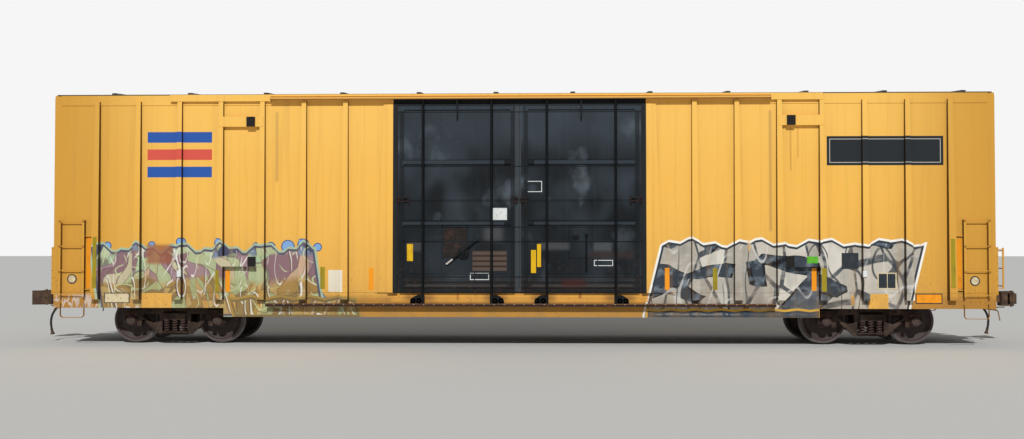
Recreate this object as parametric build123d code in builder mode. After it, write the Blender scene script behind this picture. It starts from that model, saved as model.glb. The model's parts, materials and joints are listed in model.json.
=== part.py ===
"""A sixty foot high-cube railroad boxcar with two plug doors a side and outside posts.

Millimetres, +Z up, the car lies along X with its hand brake at the +X end.
The origin is at the middle of the car, level with the tips of the wheel flanges.
"""

from build123d import *
import math
import os

os.makedirs("parts", exist_ok=True)

# Wheels and running gear
WHEEL_R = 457
FLANGE_H = 28
RIM_BACK_Y = 677
RIM_W = 145
TRUCK_X = 7048.5
HALF_WHEELBASE = 889
JOURNAL_Y = 1003
JOURNAL_R = 75
AXLE_Z = WHEEL_R + FLANGE_H
RUN_GAP = 0.05
MOVE_GAP = 6
SEAT_GAP = 0.3

# Every height of the car body is counted from the rail's top, which is one flange up
RAIL_Z = FLANGE_H

# Load space
INSIDE_L = 18517
INSIDE_W = 2896
INSIDE_H = 3962
FLOOR_Z = RAIL_Z + 1130
FLOOR_T = 60
SHEET_T = 12
END_T = 136.5
DOOR_OPENING = 4877

# Heights of the side
SILL_END_Z = RAIL_Z + 733
SILL_MID_Z = RAIL_Z + 557
SEAM_Z = RAIL_Z + 1046
CHORD_Z = RAIL_Z + 4810
EAVE_Z = RAIL_Z + 5014
RIDGE_Z = RAIL_Z + 5150
CAP_H = 32

# Posts
POST_PITCH = 838
FIRST_POST_X = 3408
POSTS_A_SIDE = 7
POST_FOOT_Z = RAIL_Z + 905
POST_HEAD_Z = RAIL_Z + 4880

# Underframe
SILL_DROP_X = 5938
SILL_CORNER_R = 150
SILL_SPLIT_X = 6100
CENTRE_SILL_HALF = 178
CENTRE_SILL_T = 20
CENTRE_SILL_FLANGE = 72
CENTRE_SILL_Z = RAIL_Z + 740
STRINGER_H = 80
COUPLER_Z = RAIL_Z + 876
COUPLER_PIN_R = 44
SHANK_HALF_H = 75
SHANK_HALF_W = 57
CENTRE_PLATE_R = 178
CENTRE_PLATE_Z = RAIL_Z + 650

# Sizes that follow
HALF_L = INSIDE_L / 2
HALF_W = INSIDE_W / 2
BODY_X = HALF_L + END_T
STRIKER_X = BODY_X + 295
PULLING_FACE_X = BODY_X + 955
COUPLER_PIN_X = BODY_X - 345
SIDE_Y = HALF_W + SHEET_T
DOOR_X = DOOR_OPENING / 2
FLOOR_UNDER_Z = FLOOR_Z - FLOOR_T
CROSS_TOP_Z = FLOOR_UNDER_Z - STRINGER_H
CEILING_Z = FLOOR_Z + INSIDE_H


def box(x, y, z):
    """A block between the two ends given along each axis."""
    with Locations(((x[0] + x[1]) / 2, (y[0] + y[1]) / 2, (z[0] + z[1]) / 2)):
        Box(x[1] - x[0], y[1] - y[0], z[1] - z[0])


def cut_box(x, y, z):
    """The same block, taken away."""
    with Locations(((x[0] + x[1]) / 2, (y[0] + y[1]) / 2, (z[0] + z[1]) / 2)):
        Box(x[1] - x[0], y[1] - y[0], z[1] - z[0], mode=Mode.SUBTRACT)


def slab_along_y(points, y0, y1, mode=Mode.ADD):
    """A plate whose outline is given as X, Z points, between two Y planes."""
    with BuildSketch(Plane.XZ.offset(-y0)) as outline:
        with BuildLine():
            Polyline(*points, close=True)
        make_face()
    extrude(outline.sketch, amount=y0 - y1, mode=mode)


def slab_along_x(points, x0, x1, mode=Mode.ADD):
    """A plate whose outline is given as Y, Z points, between two X planes."""
    with BuildSketch(Plane.YZ.offset(x0)) as outline:
        with BuildLine():
            Polyline(*points, close=True)
        make_face()
    extrude(outline.sketch, amount=x1 - x0, mode=mode)


def rod(start, end, radius):
    """A round bar between two points."""
    with BuildLine() as path:
        Line(start, end)
    with BuildSketch(path.line ^ 0) as section:
        Circle(radius)
    sweep(section.sketch, path=path.line)


def bent_rod(points, bend, radius):
    """A round bar through several points with equal bends."""
    with BuildLine() as path:
        FilletPolyline(*points, radius=bend)
    with BuildSketch(path.line ^ 0) as section:
        Circle(radius)
    sweep(section.sketch, path=path.line)


def both_ends():
    """Copies what stands at the +X end to the other one."""
    mirror(about=Plane.YZ)


def both_sides():
    """Copies what stands on the +Y side to the other one."""
    mirror(about=Plane.XZ)


def write(block, label):
    block.part.label = label
    export_step(block.part, f"parts/{label}.step")


# Floor and underframe

with BuildPart() as floor:
    box((-HALF_L, HALF_L), (-HALF_W, HALF_W), (FLOOR_UNDER_Z, FLOOR_Z))
write(floor, "floor")

# Webs, flanges, top plate and castings stand apart by the seat gap
with BuildPart() as centre_sill:
    sill_end = STRIKER_X - SEAT_GAP
    web_y = CENTRE_SILL_HALF - CENTRE_SILL_T
    flange_y = CENTRE_SILL_HALF + CENTRE_SILL_FLANGE
    flange_top_z = CENTRE_SILL_Z + CENTRE_SILL_T
    top_plate_z = FLOOR_UNDER_Z - CENTRE_SILL_T
    box(
        (-sill_end, sill_end),
        (web_y, CENTRE_SILL_HALF),
        (flange_top_z + SEAT_GAP, top_plate_z - SEAT_GAP),
    )
    box((-sill_end, sill_end), (web_y, flange_y), (CENTRE_SILL_Z, flange_top_z))
    both_sides()
    box(
        (-sill_end, sill_end),
        (-CENTRE_SILL_HALF, CENTRE_SILL_HALF),
        (top_plate_z, FLOOR_UNDER_Z),
    )
    # The filler over the truck with its centre plate
    filler_x = (TRUCK_X - 220, TRUCK_X + 220)
    inside_y = web_y - SEAT_GAP
    box(filler_x, (-inside_y, inside_y), (CENTRE_SILL_Z - 25, CENTRE_SILL_Z + 40))
    box(
        filler_x,
        (-CENTRE_SILL_HALF, CENTRE_SILL_HALF),
        (CENTRE_SILL_Z - 25, CENTRE_SILL_Z - SEAT_GAP),
    )
    with Locations((TRUCK_X, 0, (CENTRE_PLATE_Z + CENTRE_SILL_Z) / 2)):
        Cylinder(CENTRE_PLATE_R, CENTRE_SILL_Z - CENTRE_PLATE_Z)
    # The coupler's pin hangs under the top plate
    pin_foot_z = COUPLER_Z - 95
    pin_head_z = top_plate_z - SEAT_GAP
    with Locations((COUPLER_PIN_X, 0, (pin_foot_z + pin_head_z) / 2)):
        Cylinder(COUPLER_PIN_R, pin_head_z - pin_foot_z)
    # The striker: a carrier for the coupler's shank and a collar round the mouth of the sill
    carrier_z = COUPLER_Z - SHANK_HALF_H - MOVE_GAP
    box((STRIKER_X - 110, STRIKER_X), (-inside_y, inside_y), (CENTRE_SILL_Z, carrier_z))
    collar = CENTRE_SILL_HALF + 50
    slab_along_x(
        [
            (-collar, CENTRE_SILL_Z - 30),
            (collar, CENTRE_SILL_Z - 30),
            (collar, FLOOR_UNDER_Z - 70),
            (collar - 60, FLOOR_UNDER_Z),
            (60 - collar, FLOOR_UNDER_Z),
            (-collar, FLOOR_UNDER_Z - 70),
        ],
        STRIKER_X,
        STRIKER_X + 30,
    )
    cut_box((STRIKER_X, STRIKER_X + 30), (-web_y, web_y), (carrier_z, top_plate_z))
    both_ends()
write(centre_sill, "centre_sill")

# Cross bearers by their X and the two bolsters
BEARER_X = [1250, 2520, 3900, 5350, 8720]
STRINGER_Y = [560, 1010]
with BuildPart() as cross_members:
    bearer_outline = [
        (CENTRE_SILL_HALF + CENTRE_SILL_FLANGE, CENTRE_SILL_Z),
        (HALF_W, SILL_MID_Z + 190),
        (HALF_W, CROSS_TOP_Z),
        (CENTRE_SILL_HALF, CROSS_TOP_Z),
        (CENTRE_SILL_HALF, CENTRE_SILL_Z + CENTRE_SILL_T),
        (CENTRE_SILL_HALF + CENTRE_SILL_FLANGE, CENTRE_SILL_Z + CENTRE_SILL_T),
    ]
    for bearer_x in BEARER_X:
        slab_along_x(bearer_outline, bearer_x - 8, bearer_x + 8)
        lower = [
            (CENTRE_SILL_HALF + CENTRE_SILL_FLANGE, CENTRE_SILL_Z),
            (HALF_W, SILL_MID_Z + 190),
            (HALF_W, SILL_MID_Z + 206),
            (CENTRE_SILL_HALF + CENTRE_SILL_FLANGE, CENTRE_SILL_Z + 16),
        ]
        slab_along_x(lower, bearer_x - 75, bearer_x + 75)
    bolster_outline = [
        (CENTRE_SILL_HALF + CENTRE_SILL_FLANGE, CENTRE_SILL_Z),
        (560, CENTRE_SILL_Z),
        (560, RAIL_Z + 700),
        (710, RAIL_Z + 700),
        (710, CENTRE_SILL_Z + 30),
        (HALF_W, RAIL_Z + 900),
        (HALF_W, CROSS_TOP_Z),
        (CENTRE_SILL_HALF, CROSS_TOP_Z),
        (CENTRE_SILL_HALF, CENTRE_SILL_Z + CENTRE_SILL_T),
        (CENTRE_SILL_HALF + CENTRE_SILL_FLANGE, CENTRE_SILL_Z + CENTRE_SILL_T),
    ]
    slab_along_x(bolster_outline, TRUCK_X - 150, TRUCK_X + 150)
    # Jacking pads outside the bolster's ends
    box((TRUCK_X - 110, TRUCK_X + 110), (1290, HALF_W), (RAIL_Z + 760, RAIL_Z + 900))
    both_ends()
    both_sides()
write(cross_members, "cross_members")

# Stringers lie on the cross members, under the floor
with BuildPart() as stringers:
    for stringer_y in STRINGER_Y:
        slab_along_x(
            [
                (stringer_y - 6, CROSS_TOP_Z + 8),
                (stringer_y - 70, CROSS_TOP_Z + 8),
                (stringer_y - 70, CROSS_TOP_Z),
                (stringer_y + 6, CROSS_TOP_Z),
                (stringer_y + 6, FLOOR_UNDER_Z - 8),
                (stringer_y + 70, FLOOR_UNDER_Z - 8),
                (stringer_y + 70, FLOOR_UNDER_Z),
                (stringer_y - 6, FLOOR_UNDER_Z),
            ],
            -HALF_L,
            HALF_L,
        )
    both_sides()
write(stringers, "stringers")

with BuildPart() as side_sills:
    with BuildSketch(Plane.XZ.offset(-HALF_W)):
        with BuildLine():
            Polyline(
                (-BODY_X, SEAM_Z),
                (-BODY_X, SILL_END_Z),
                (-SILL_DROP_X, SILL_END_Z),
                (-SILL_DROP_X, SILL_MID_Z),
                (SILL_DROP_X, SILL_MID_Z),
                (SILL_DROP_X, SILL_END_Z),
                (BODY_X, SILL_END_Z),
                (BODY_X, SEAM_Z),
                close=True,
            )
        face = make_face()
        inner_corners = [
            corner
            for corner in face.vertices()
            if abs(corner.X) < BODY_X - 1 and corner.Z > SILL_MID_Z + 1
        ]
        fillet(inner_corners, SILL_CORNER_R)
    extrude(amount=-SHEET_T)
    box(
        (-SILL_DROP_X + 60, SILL_DROP_X - 60),
        (HALF_W - 80, HALF_W),
        (SILL_MID_Z, SILL_MID_Z + SHEET_T),
    )
    # The end pieces butt against the deep middle
    for split_x in (-SILL_SPLIT_X, SILL_SPLIT_X):
        cut_box((split_x, split_x + SEAT_GAP), (HALF_W, SIDE_Y), (SILL_END_Z, SEAM_Z))
    both_sides()
write(side_sills, "side_sills")

with BuildPart() as end_sills:
    box(
        (HALF_L, HALF_L + 14),
        (CENTRE_SILL_HALF + CENTRE_SILL_FLANGE, HALF_W),
        (SILL_END_Z, SEAM_Z),
    )
    box(
        (HALF_L, BODY_X),
        (CENTRE_SILL_HALF + CENTRE_SILL_FLANGE, HALF_W),
        (SEAM_Z - 14, SEAM_Z),
    )
    box(
        (HALF_L, BODY_X),
        (CENTRE_SILL_HALF + CENTRE_SILL_FLANGE, HALF_W),
        (SILL_END_Z, SILL_END_Z + 14),
    )
    box(
        (BODY_X - 14, BODY_X),
        (CENTRE_SILL_HALF + CENTRE_SILL_FLANGE, HALF_W),
        (SILL_END_Z, SEAM_Z),
    )
    both_sides()
    both_ends()
write(end_sills, "end_sills")

# Sides

DOOR_POST_W = 200
for side_name, side in (("right", -1), ("left", 1)):
    for end_name, end in (("a", -1), ("b", 1)):
        with BuildPart() as side_sheet:
            xs = sorted((end * (DOOR_X + DOOR_POST_W), end * HALF_L))
            ys = sorted((side * HALF_W, side * SIDE_Y))
            box(xs, ys, (SEAM_Z, CHORD_Z))
        write(side_sheet, f"side_sheet_{side_name}_{end_name}")

# A post's depth and width shrink upwards, its inner edge leans out by POST_LEAN on the way,
# and its two flanks run POST_FLANK along the wall for each millimetre of depth
POST_FOOT_D = 126
POST_HEAD_D = 66
POST_FOOT_W = 168
POST_HEAD_W = 100
POST_LEAN = 20
POST_FLANK = 0.095


def post_section(inner_x, depth, width, z):
    """The outline of a post at one height."""
    run = POST_FLANK * depth
    with BuildSketch(Plane.XY.offset(z)) as outline:
        with BuildLine():
            Polyline(
                (inner_x, SIDE_Y),
                (inner_x + run, SIDE_Y + depth),
                (inner_x + width, SIDE_Y + depth),
                (inner_x + width + run, SIDE_Y),
                close=True,
            )
        make_face()
    return outline.sketch


with BuildPart() as side_posts_left:
    for number in range(POSTS_A_SIDE):
        inner_x = FIRST_POST_X + number * POST_PITCH
        foot = post_section(inner_x, POST_FOOT_D, POST_FOOT_W, POST_FOOT_Z)
        head = post_section(inner_x + POST_LEAN, POST_HEAD_D, POST_HEAD_W, POST_HEAD_Z)
        loft([foot, head], ruled=True)
    # The door post is as deep as the wall and the posts, with a tapered wing beside it
    slab_along_x(
        [
            (HALF_W, SEAM_Z),
            (SIDE_Y + 90, SEAM_Z),
            (SIDE_Y + 55, CHORD_Z),
            (HALF_W, CHORD_Z),
        ],
        DOOR_X,
        DOOR_X + DOOR_POST_W,
    )
    slab_along_y(
        [
            (DOOR_X + DOOR_POST_W, SEAM_Z),
            (DOOR_X + DOOR_POST_W + 210, SEAM_Z),
            (DOOR_X + DOOR_POST_W + 80, CHORD_Z),
            (DOOR_X + DOOR_POST_W, CHORD_Z),
        ],
        SIDE_Y,
        SIDE_Y + 34,
    )
    # The chord's flange lies under the heads of the posts
    cut_box((FIRST_POST_X - 50, BODY_X), (SIDE_Y, SIDE_Y + SHEET_T), (CHORD_Z, EAVE_Z))
    both_ends()
with BuildPart() as side_posts_right:
    add(side_posts_left.part.mirror(Plane.XZ))
write(side_posts_left, "side_posts_left")
write(side_posts_right, "side_posts_right")

# Door tracks, which set the top chord's hood too
TRACK_Y = SIDE_Y + 150
UPPER_TRACK_X = 4990
LOWER_TRACK_X = 5060
UPPER_TRACK_Z = RAIL_Z + 4935
LOWER_TRACK_Z = RAIL_Z + 830

# A hood over the upper door track, deeper past the track's ends and longer to one's left
# than to one's right when facing the side
HOOD_X = (-6010, 7030)
with BuildPart() as top_chord:
    box((-HALF_L, HALF_L), (HALF_W, SIDE_Y), (CHORD_Z, EAVE_Z))
    box((-HALF_L, HALF_L), (SIDE_Y, SIDE_Y + SHEET_T), (CHORD_Z, EAVE_Z))
    hood_y = (SIDE_Y + SHEET_T, SIDE_Y + 75)
    box(HOOD_X, hood_y, (UPPER_TRACK_Z + 40, EAVE_Z))
    box((HOOD_X[0], -UPPER_TRACK_X), hood_y, (POST_HEAD_Z, EAVE_Z))
    box((UPPER_TRACK_X, HOOD_X[1]), hood_y, (POST_HEAD_Z, EAVE_Z))
with BuildPart() as top_chords:
    add(top_chord.part)
    add(top_chord.part.rotate(Axis.Z, 180))
write(top_chords, "top_chords")

# Roof sheet with a cap over every seam

CAP_PITCH = 1543
FIRST_CAP = 1073
CAPS = int((INSIDE_L - FIRST_CAP) / CAP_PITCH) + 1
ROOF_END_X = BODY_X - 55
with BuildPart() as roof:
    slab_along_x(
        [
            (-SIDE_Y - 18, EAVE_Z),
            (-SIDE_Y - 18, EAVE_Z + 15),
            (0, RIDGE_Z),
            (SIDE_Y + 18, EAVE_Z + 15),
            (SIDE_Y + 18, EAVE_Z),
            (HALF_W, EAVE_Z),
            (0, CEILING_Z),
            (-HALF_W, EAVE_Z),
        ],
        -ROOF_END_X,
        ROOF_END_X,
    )
    for number in range(CAPS):
        cap_x = FIRST_CAP - HALF_L + number * CAP_PITCH
        slab_along_x(
            [
                (-SIDE_Y - 10, EAVE_Z + 14),
                (-SIDE_Y - 10, EAVE_Z + 15 + CAP_H),
                (0, RIDGE_Z + CAP_H),
                (SIDE_Y + 10, EAVE_Z + 15 + CAP_H),
                (SIDE_Y + 10, EAVE_Z + 14),
                (0, RIDGE_Z - 1),
            ],
            cap_x - 45,
            cap_x + 45,
        )
write(roof, "roof")

# Ends with pressed corrugations between a rail at the foot and one at the head

CORRUGATION_Z = [RAIL_Z + 1580 + 470 * number for number in range(7)]
CORRUGATION_H = 260
CORRUGATION_D = 70
CORNER_Y = 1400
END_FACE_X = BODY_X - CORRUGATION_D
END_RAIL_Z = (SEAM_Z + 180, EAVE_Z - 200)
for end_name, end in (("a", -1), ("b", 1)):
    with BuildPart() as end_wall:
        with BuildSketch(Plane.XZ.offset(-CORNER_Y)):
            with BuildLine():
                low = (HALF_L, SEAM_Z)
                corner = (END_FACE_X, END_RAIL_Z[0])
                Polyline(low, (BODY_X, SEAM_Z), (BODY_X, END_RAIL_Z[0]), corner)
                for middle in CORRUGATION_Z:
                    foot = (END_FACE_X, middle - CORRUGATION_H / 2)
                    head = (END_FACE_X, middle + CORRUGATION_H / 2)
                    Line(corner, foot)
                    ThreePointArc(foot, (BODY_X, middle), head)
                    corner = head
                Polyline(
                    corner,
                    (END_FACE_X, END_RAIL_Z[1]),
                    (BODY_X, END_RAIL_Z[1]),
                    (BODY_X, RIDGE_Z),
                    (HALF_L, RIDGE_Z),
                    low,
                )
            make_face()
        extrude(amount=2 * CORNER_Y)
        slab_along_x(
            [
                (-HALF_W, EAVE_Z),
                (0, CEILING_Z),
                (HALF_W, EAVE_Z),
                (HALF_W, RIDGE_Z + 100),
                (-HALF_W, RIDGE_Z + 100),
            ],
            HALF_L - 10,
            BODY_X + 10,
            mode=Mode.SUBTRACT,
        )
        cut_box(
            (HALF_L, BODY_X),
            (-CENTRE_SILL_HALF, CENTRE_SILL_HALF),
            (SEAM_Z, FLOOR_UNDER_Z),
        )
    if end < 0:
        with BuildPart() as end_wall_a:
            add(end_wall.part.mirror(Plane.YZ))
        write(end_wall_a, "end_wall_a")
    else:
        write(end_wall, "end_wall_b")

with BuildPart() as corner_posts:
    slab_along_y(
        [
            (HALF_L, SEAM_Z),
            (BODY_X, SEAM_Z),
            (BODY_X, EAVE_Z - 60),
            (BODY_X - 50, EAVE_Z),
            (HALF_L, EAVE_Z),
        ],
        CORNER_Y,
        SIDE_Y,
    )
    box((HALF_L, BODY_X), (CORNER_Y, HALF_W), (EAVE_Z - 200, EAVE_Z))
    # A bolted flange for the end ladder
    box((BODY_X, BODY_X + 45), (SIDE_Y - 14, SIDE_Y), (SEAM_Z - 40, RAIL_Z + 1955))
    both_ends()
    both_sides()
write(corner_posts, "corner_posts")

# Doors

DOOR_FACE_Y = SIDE_Y + 30
DOOR_FRAME_Y = SIDE_Y + 62
DOOR_FOOT_Z = SEAM_Z
DOOR_HEAD_Z = CHORD_Z
DOOR_RIBS = [RAIL_Z + 2445, RAIL_Z + 3655]
for side_name, side in (("right", -1), ("left", 1)):
    for end_name, end in (("a", -1), ("b", 1)):
        with BuildPart() as door:
            box((3, DOOR_X), (HALF_W, DOOR_FACE_Y), (DOOR_FOOT_Z, DOOR_HEAD_Z))
            box((90, 170), (DOOR_FACE_Y, DOOR_FRAME_Y), (DOOR_FOOT_Z, DOOR_HEAD_Z))
            box(
                (DOOR_X - 130, DOOR_X - 50),
                (DOOR_FACE_Y, DOOR_FRAME_Y),
                (DOOR_FOOT_Z, DOOR_HEAD_Z),
            )
            box(
                (170, DOOR_X - 130),
                (DOOR_FACE_Y, DOOR_FRAME_Y),
                (DOOR_HEAD_Z - 110, DOOR_HEAD_Z - 10),
            )
            box(
                (170, DOOR_X - 130),
                (DOOR_FACE_Y, DOOR_FRAME_Y),
                (DOOR_FOOT_Z, DOOR_FOOT_Z + 60),
            )
            for rib_z in DOOR_RIBS:
                slab_along_x(
                    [
                        (DOOR_FACE_Y, rib_z - 45),
                        (DOOR_FRAME_Y + 10, rib_z - 45),
                        (DOOR_FRAME_Y + 10, rib_z + 30),
                        (DOOR_FACE_Y, rib_z + 50),
                    ],
                    170,
                    DOOR_X - 130,
                )
        placed = door.part if end > 0 else door.part.mirror(Plane.YZ)
        placed = placed if side > 0 else placed.mirror(Plane.XZ)
        with BuildPart() as placed_door:
            add(placed)
        write(placed_door, f"door_{side_name}_{end_name}")

# Door tracks, hardware and stops

with BuildPart() as door_tracks:
    box(
        (-UPPER_TRACK_X, UPPER_TRACK_X),
        (SIDE_Y + SHEET_T, TRACK_Y),
        (UPPER_TRACK_Z, UPPER_TRACK_Z + 15),
    )
    box(
        (-UPPER_TRACK_X, UPPER_TRACK_X),
        (TRACK_Y - 12, TRACK_Y),
        (UPPER_TRACK_Z - 35, UPPER_TRACK_Z),
    )
    slab_along_x(
        [
            (SIDE_Y, LOWER_TRACK_Z - 15),
            (TRACK_Y - 14, LOWER_TRACK_Z - 15),
            (TRACK_Y - 14, LOWER_TRACK_Z - 60),
            (TRACK_Y, LOWER_TRACK_Z - 60),
            (TRACK_Y, LOWER_TRACK_Z),
            (SIDE_Y, LOWER_TRACK_Z),
        ],
        -LOWER_TRACK_X,
        LOWER_TRACK_X,
    )
    both_sides()
write(door_tracks, "door_tracks")

ROD_X = [550, 1920]
ROD_Y = SIDE_Y + 97
ROD_R = 25
HANGER_X = 1235
CARRIAGE_H = 170
with BuildPart() as door_lock_rods:
    for rod_x in ROD_X:
        with Locations((rod_x, ROD_Y, (LOWER_TRACK_Z + CARRIAGE_H + UPPER_TRACK_Z) / 2)):
            Cylinder(ROD_R, UPPER_TRACK_Z - LOWER_TRACK_Z - CARRIAGE_H)
        for rib_z in DOOR_RIBS:
            box(
                (rod_x - 32, rod_x + 32),
                (DOOR_FRAME_Y + 10, ROD_Y + 20),
                (rib_z - 35, rib_z + 15),
            )
    box(
        (HANGER_X - 16, HANGER_X + 16),
        (DOOR_FRAME_Y, ROD_Y + 20),
        (DOOR_HEAD_Z - 280, UPPER_TRACK_Z),
    )
    both_ends()
    both_sides()
write(door_lock_rods, "door_lock_rods")

with BuildPart() as door_carriages:
    for rod_x, out in ((ROD_X[0], -1), (ROD_X[1], 1)):
        slab_along_y(
            [
                (rod_x - 32 * out, LOWER_TRACK_Z),
                (rod_x + 252 * out, LOWER_TRACK_Z),
                (rod_x + 248 * out, LOWER_TRACK_Z + 45),
                (rod_x + 215 * out, LOWER_TRACK_Z + 100),
                (rod_x + 165 * out, LOWER_TRACK_Z + 145),
                (rod_x + 105 * out, LOWER_TRACK_Z + CARRIAGE_H),
                (rod_x - 32 * out, LOWER_TRACK_Z + CARRIAGE_H),
            ],
            DOOR_FACE_Y,
            ROD_Y + 36,
        )
    both_ends()
    both_sides()
write(door_carriages, "door_carriages")

GEAR_X = 1230
with BuildPart() as door_gear:
    box(
        (GEAR_X - 230, GEAR_X + 250),
        (DOOR_FACE_Y, DOOR_FACE_Y + 30),
        (RAIL_Z + 1750, RAIL_Z + 2380),
    )
    with Locations(Location((GEAR_X, DOOR_FACE_Y + 60, RAIL_Z + 1840), (90, 0, 0))):
        Cylinder(70, 60)
    rod(
        (GEAR_X - 330, DOOR_FACE_Y + 100, RAIL_Z + 2080),
        (GEAR_X + 320, DOOR_FACE_Y + 100, RAIL_Z + 1607),
        17,
    )
    both_ends()
    both_sides()
write(door_gear, "door_gear")

# Door stops lie across two posts, by the foot of the plate, the bumper's depth and its place
STOP_H = 205
STOP_T = 8
STOP_LIP = 60
STOPS = [(RAIL_Z + 1566, 21, 1850), (RAIL_Z + 4368, 48, 1890)]
with BuildPart() as door_stops:
    for stop_z, bumper_depth, bumper_x in STOPS:
        shrink = (POST_FOOT_D - POST_HEAD_D) / (POST_HEAD_Z - POST_FOOT_Z)
        foot_y = SIDE_Y + POST_FOOT_D - shrink * (stop_z - POST_FOOT_Z)
        head_y = foot_y - shrink * STOP_H
        second_x = FIRST_POST_X + 2 * POST_PITCH + 56
        third_x = FIRST_POST_X + 3 * POST_PITCH + 119
        slab_along_x(
            [
                (foot_y, stop_z),
                (foot_y + STOP_T, stop_z),
                (head_y + STOP_T, stop_z + STOP_H),
                (head_y, stop_z + STOP_H),
            ],
            second_x,
            third_x,
        )
        block_x = FIRST_POST_X + bumper_x
        box(
            (block_x, block_x + 165),
            (head_y + STOP_T / 2, foot_y + STOP_T + bumper_depth),
            (stop_z, stop_z + STOP_H - 10),
        )
        # The plate's foot is turned in between the posts
        box(
            (FIRST_POST_X + 2 * POST_PITCH + 200, FIRST_POST_X + 3 * POST_PITCH - 4),
            (foot_y - STOP_LIP, foot_y + STOP_T / 2),
            (stop_z, stop_z + STOP_T),
        )
    both_ends()
    both_sides()
write(door_stops, "door_stops")

# Ladders, steps and handholds

LADDER_X = [BODY_X - 630, BODY_X - 151]
RUNG_Z = [RAIL_Z + 1000, RAIL_Z + 1485, RAIL_Z + 1970, RAIL_Z + 2455]
RUNG_R = 11
LADDER_Y = SIDE_Y + 66
STILE_HALF = 22
with BuildPart() as side_ladders:
    # Angle stiles, the web on the outer side of each and the flange in front of the rungs
    stile_z = (RUNG_Z[0] - 50, RUNG_Z[-1] + 40)
    for stile_x, out in ((LADDER_X[0], -1), (LADDER_X[1], 1)):
        web_x = sorted((stile_x + 14 * out, stile_x + STILE_HALF * out))
        box(web_x, (SIDE_Y, LADDER_Y + 20), stile_z)
        box((stile_x - STILE_HALF, stile_x + STILE_HALF), (LADDER_Y + 13, LADDER_Y + 20), stile_z)
    for rung_z in RUNG_Z:
        rod(
            (LADDER_X[0] - 16, LADDER_Y, rung_z),
            (LADDER_X[1] + 16, LADDER_Y, rung_z),
            RUNG_R,
        )
    both_ends()
    both_sides()
write(side_ladders, "side_ladders")

STEP_Z = RAIL_Z + 531
STEP_T = 6
STEP_BEND = 45
with BuildPart() as sill_steps:
    # A flat bar bent to a U: its outer edge, then its inner edge back
    step_top_z = SILL_END_Z + 90
    left_x, right_x = LADDER_X
    slab_along_y(
        [
            (left_x - STEP_T, step_top_z),
            (left_x - STEP_T, STEP_Z + STEP_BEND),
            (left_x - STEP_T + STEP_BEND, STEP_Z),
            (right_x + STEP_T - STEP_BEND, STEP_Z),
            (right_x + STEP_T, STEP_Z + STEP_BEND),
            (right_x + STEP_T, step_top_z),
            (right_x - STEP_T, step_top_z),
            (right_x - STEP_T, STEP_Z + STEP_BEND + STEP_T),
            (right_x - STEP_BEND, STEP_Z + 2 * STEP_T),
            (left_x + STEP_BEND, STEP_Z + 2 * STEP_T),
            (left_x + STEP_T, STEP_Z + STEP_BEND + STEP_T),
            (left_x + STEP_T, step_top_z),
        ],
        SIDE_Y,
        SIDE_Y + 40,
    )
    both_ends()
    both_sides()
write(sill_steps, "sill_steps")

END_LADDER_Y = [830, 1310]
END_LADDER_X = BODY_X + 205
END_RUNG_Z = [RAIL_Z + 1180, RAIL_Z + 1530, RAIL_Z + 1880]
with BuildPart() as end_ladder:
    for stile_y in END_LADDER_Y:
        box(
            (END_LADDER_X - 24, END_LADDER_X + 12),
            (stile_y - 5, stile_y + 5),
            (END_RUNG_Z[0] - 60, END_RUNG_Z[-1] + 60),
        )
        for wall_x, bracket_z in ((BODY_X, END_RUNG_Z[0] - 40), (END_FACE_X, END_RUNG_Z[-1] + 30)):
            box(
                (wall_x, END_LADDER_X - 24),
                (stile_y - 5, stile_y + 5),
                (bracket_z - 8, bracket_z + 8),
            )
    for rung_z in END_RUNG_Z:
        rod(
            (END_LADDER_X - 6, END_LADDER_Y[0], rung_z),
            (END_LADDER_X - 6, END_LADDER_Y[1], rung_z),
            RUNG_R,
        )
with BuildPart() as end_ladders:
    # One at each end, at the corner to the left of a person who faces that end
    add(end_ladder.part.mirror(Plane.XZ))
    add(end_ladder.part.mirror(Plane.YZ))
write(end_ladders, "end_ladders")

PLATFORM_Z = FLOOR_UNDER_Z + 25
PLATFORM_X = BODY_X + 330
PLATFORM_HALF = 700
with BuildPart() as crossover_platforms:
    for number in range(11):
        slat_x = BODY_X + 6 + number * 30
        box((slat_x, slat_x + 6), (-PLATFORM_HALF, PLATFORM_HALF), (PLATFORM_Z - 25, PLATFORM_Z))
    for bearer_y in (-PLATFORM_HALF, -250, 244, PLATFORM_HALF - 6):
        slab_along_y(
            [
                (BODY_X, PLATFORM_Z - 25),
                (PLATFORM_X, PLATFORM_Z - 25),
                (PLATFORM_X, PLATFORM_Z - 50),
                (BODY_X, PLATFORM_Z - 200),
            ],
            bearer_y,
            bearer_y + 6,
        )
    both_ends()
write(crossover_platforms, "crossover_platforms")

# Hand brake on the +X end

BRAKE_Y = -430
BRAKE_Z = RAIL_Z + 1900
BRAKE_WHEEL_R = 279
BRAKE_X = BODY_X
with BuildPart() as hand_brake:
    box((BRAKE_X, BRAKE_X + 90), (BRAKE_Y - 60, BRAKE_Y + 60), (BRAKE_Z - 330, BRAKE_Z - 200))
    box((BRAKE_X, BRAKE_X + 75), (BRAKE_Y - 130, BRAKE_Y + 130), (BRAKE_Z - 210, BRAKE_Z + 150))
    rod((BRAKE_X + 75, BRAKE_Y, BRAKE_Z), (BRAKE_X + 150, BRAKE_Y, BRAKE_Z), 20)
    rod((BRAKE_X + 45, BRAKE_Y, BRAKE_Z - 330), (BRAKE_X + 45, BRAKE_Y, PLATFORM_Z), 9)
write(hand_brake, "hand_brake")

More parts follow.
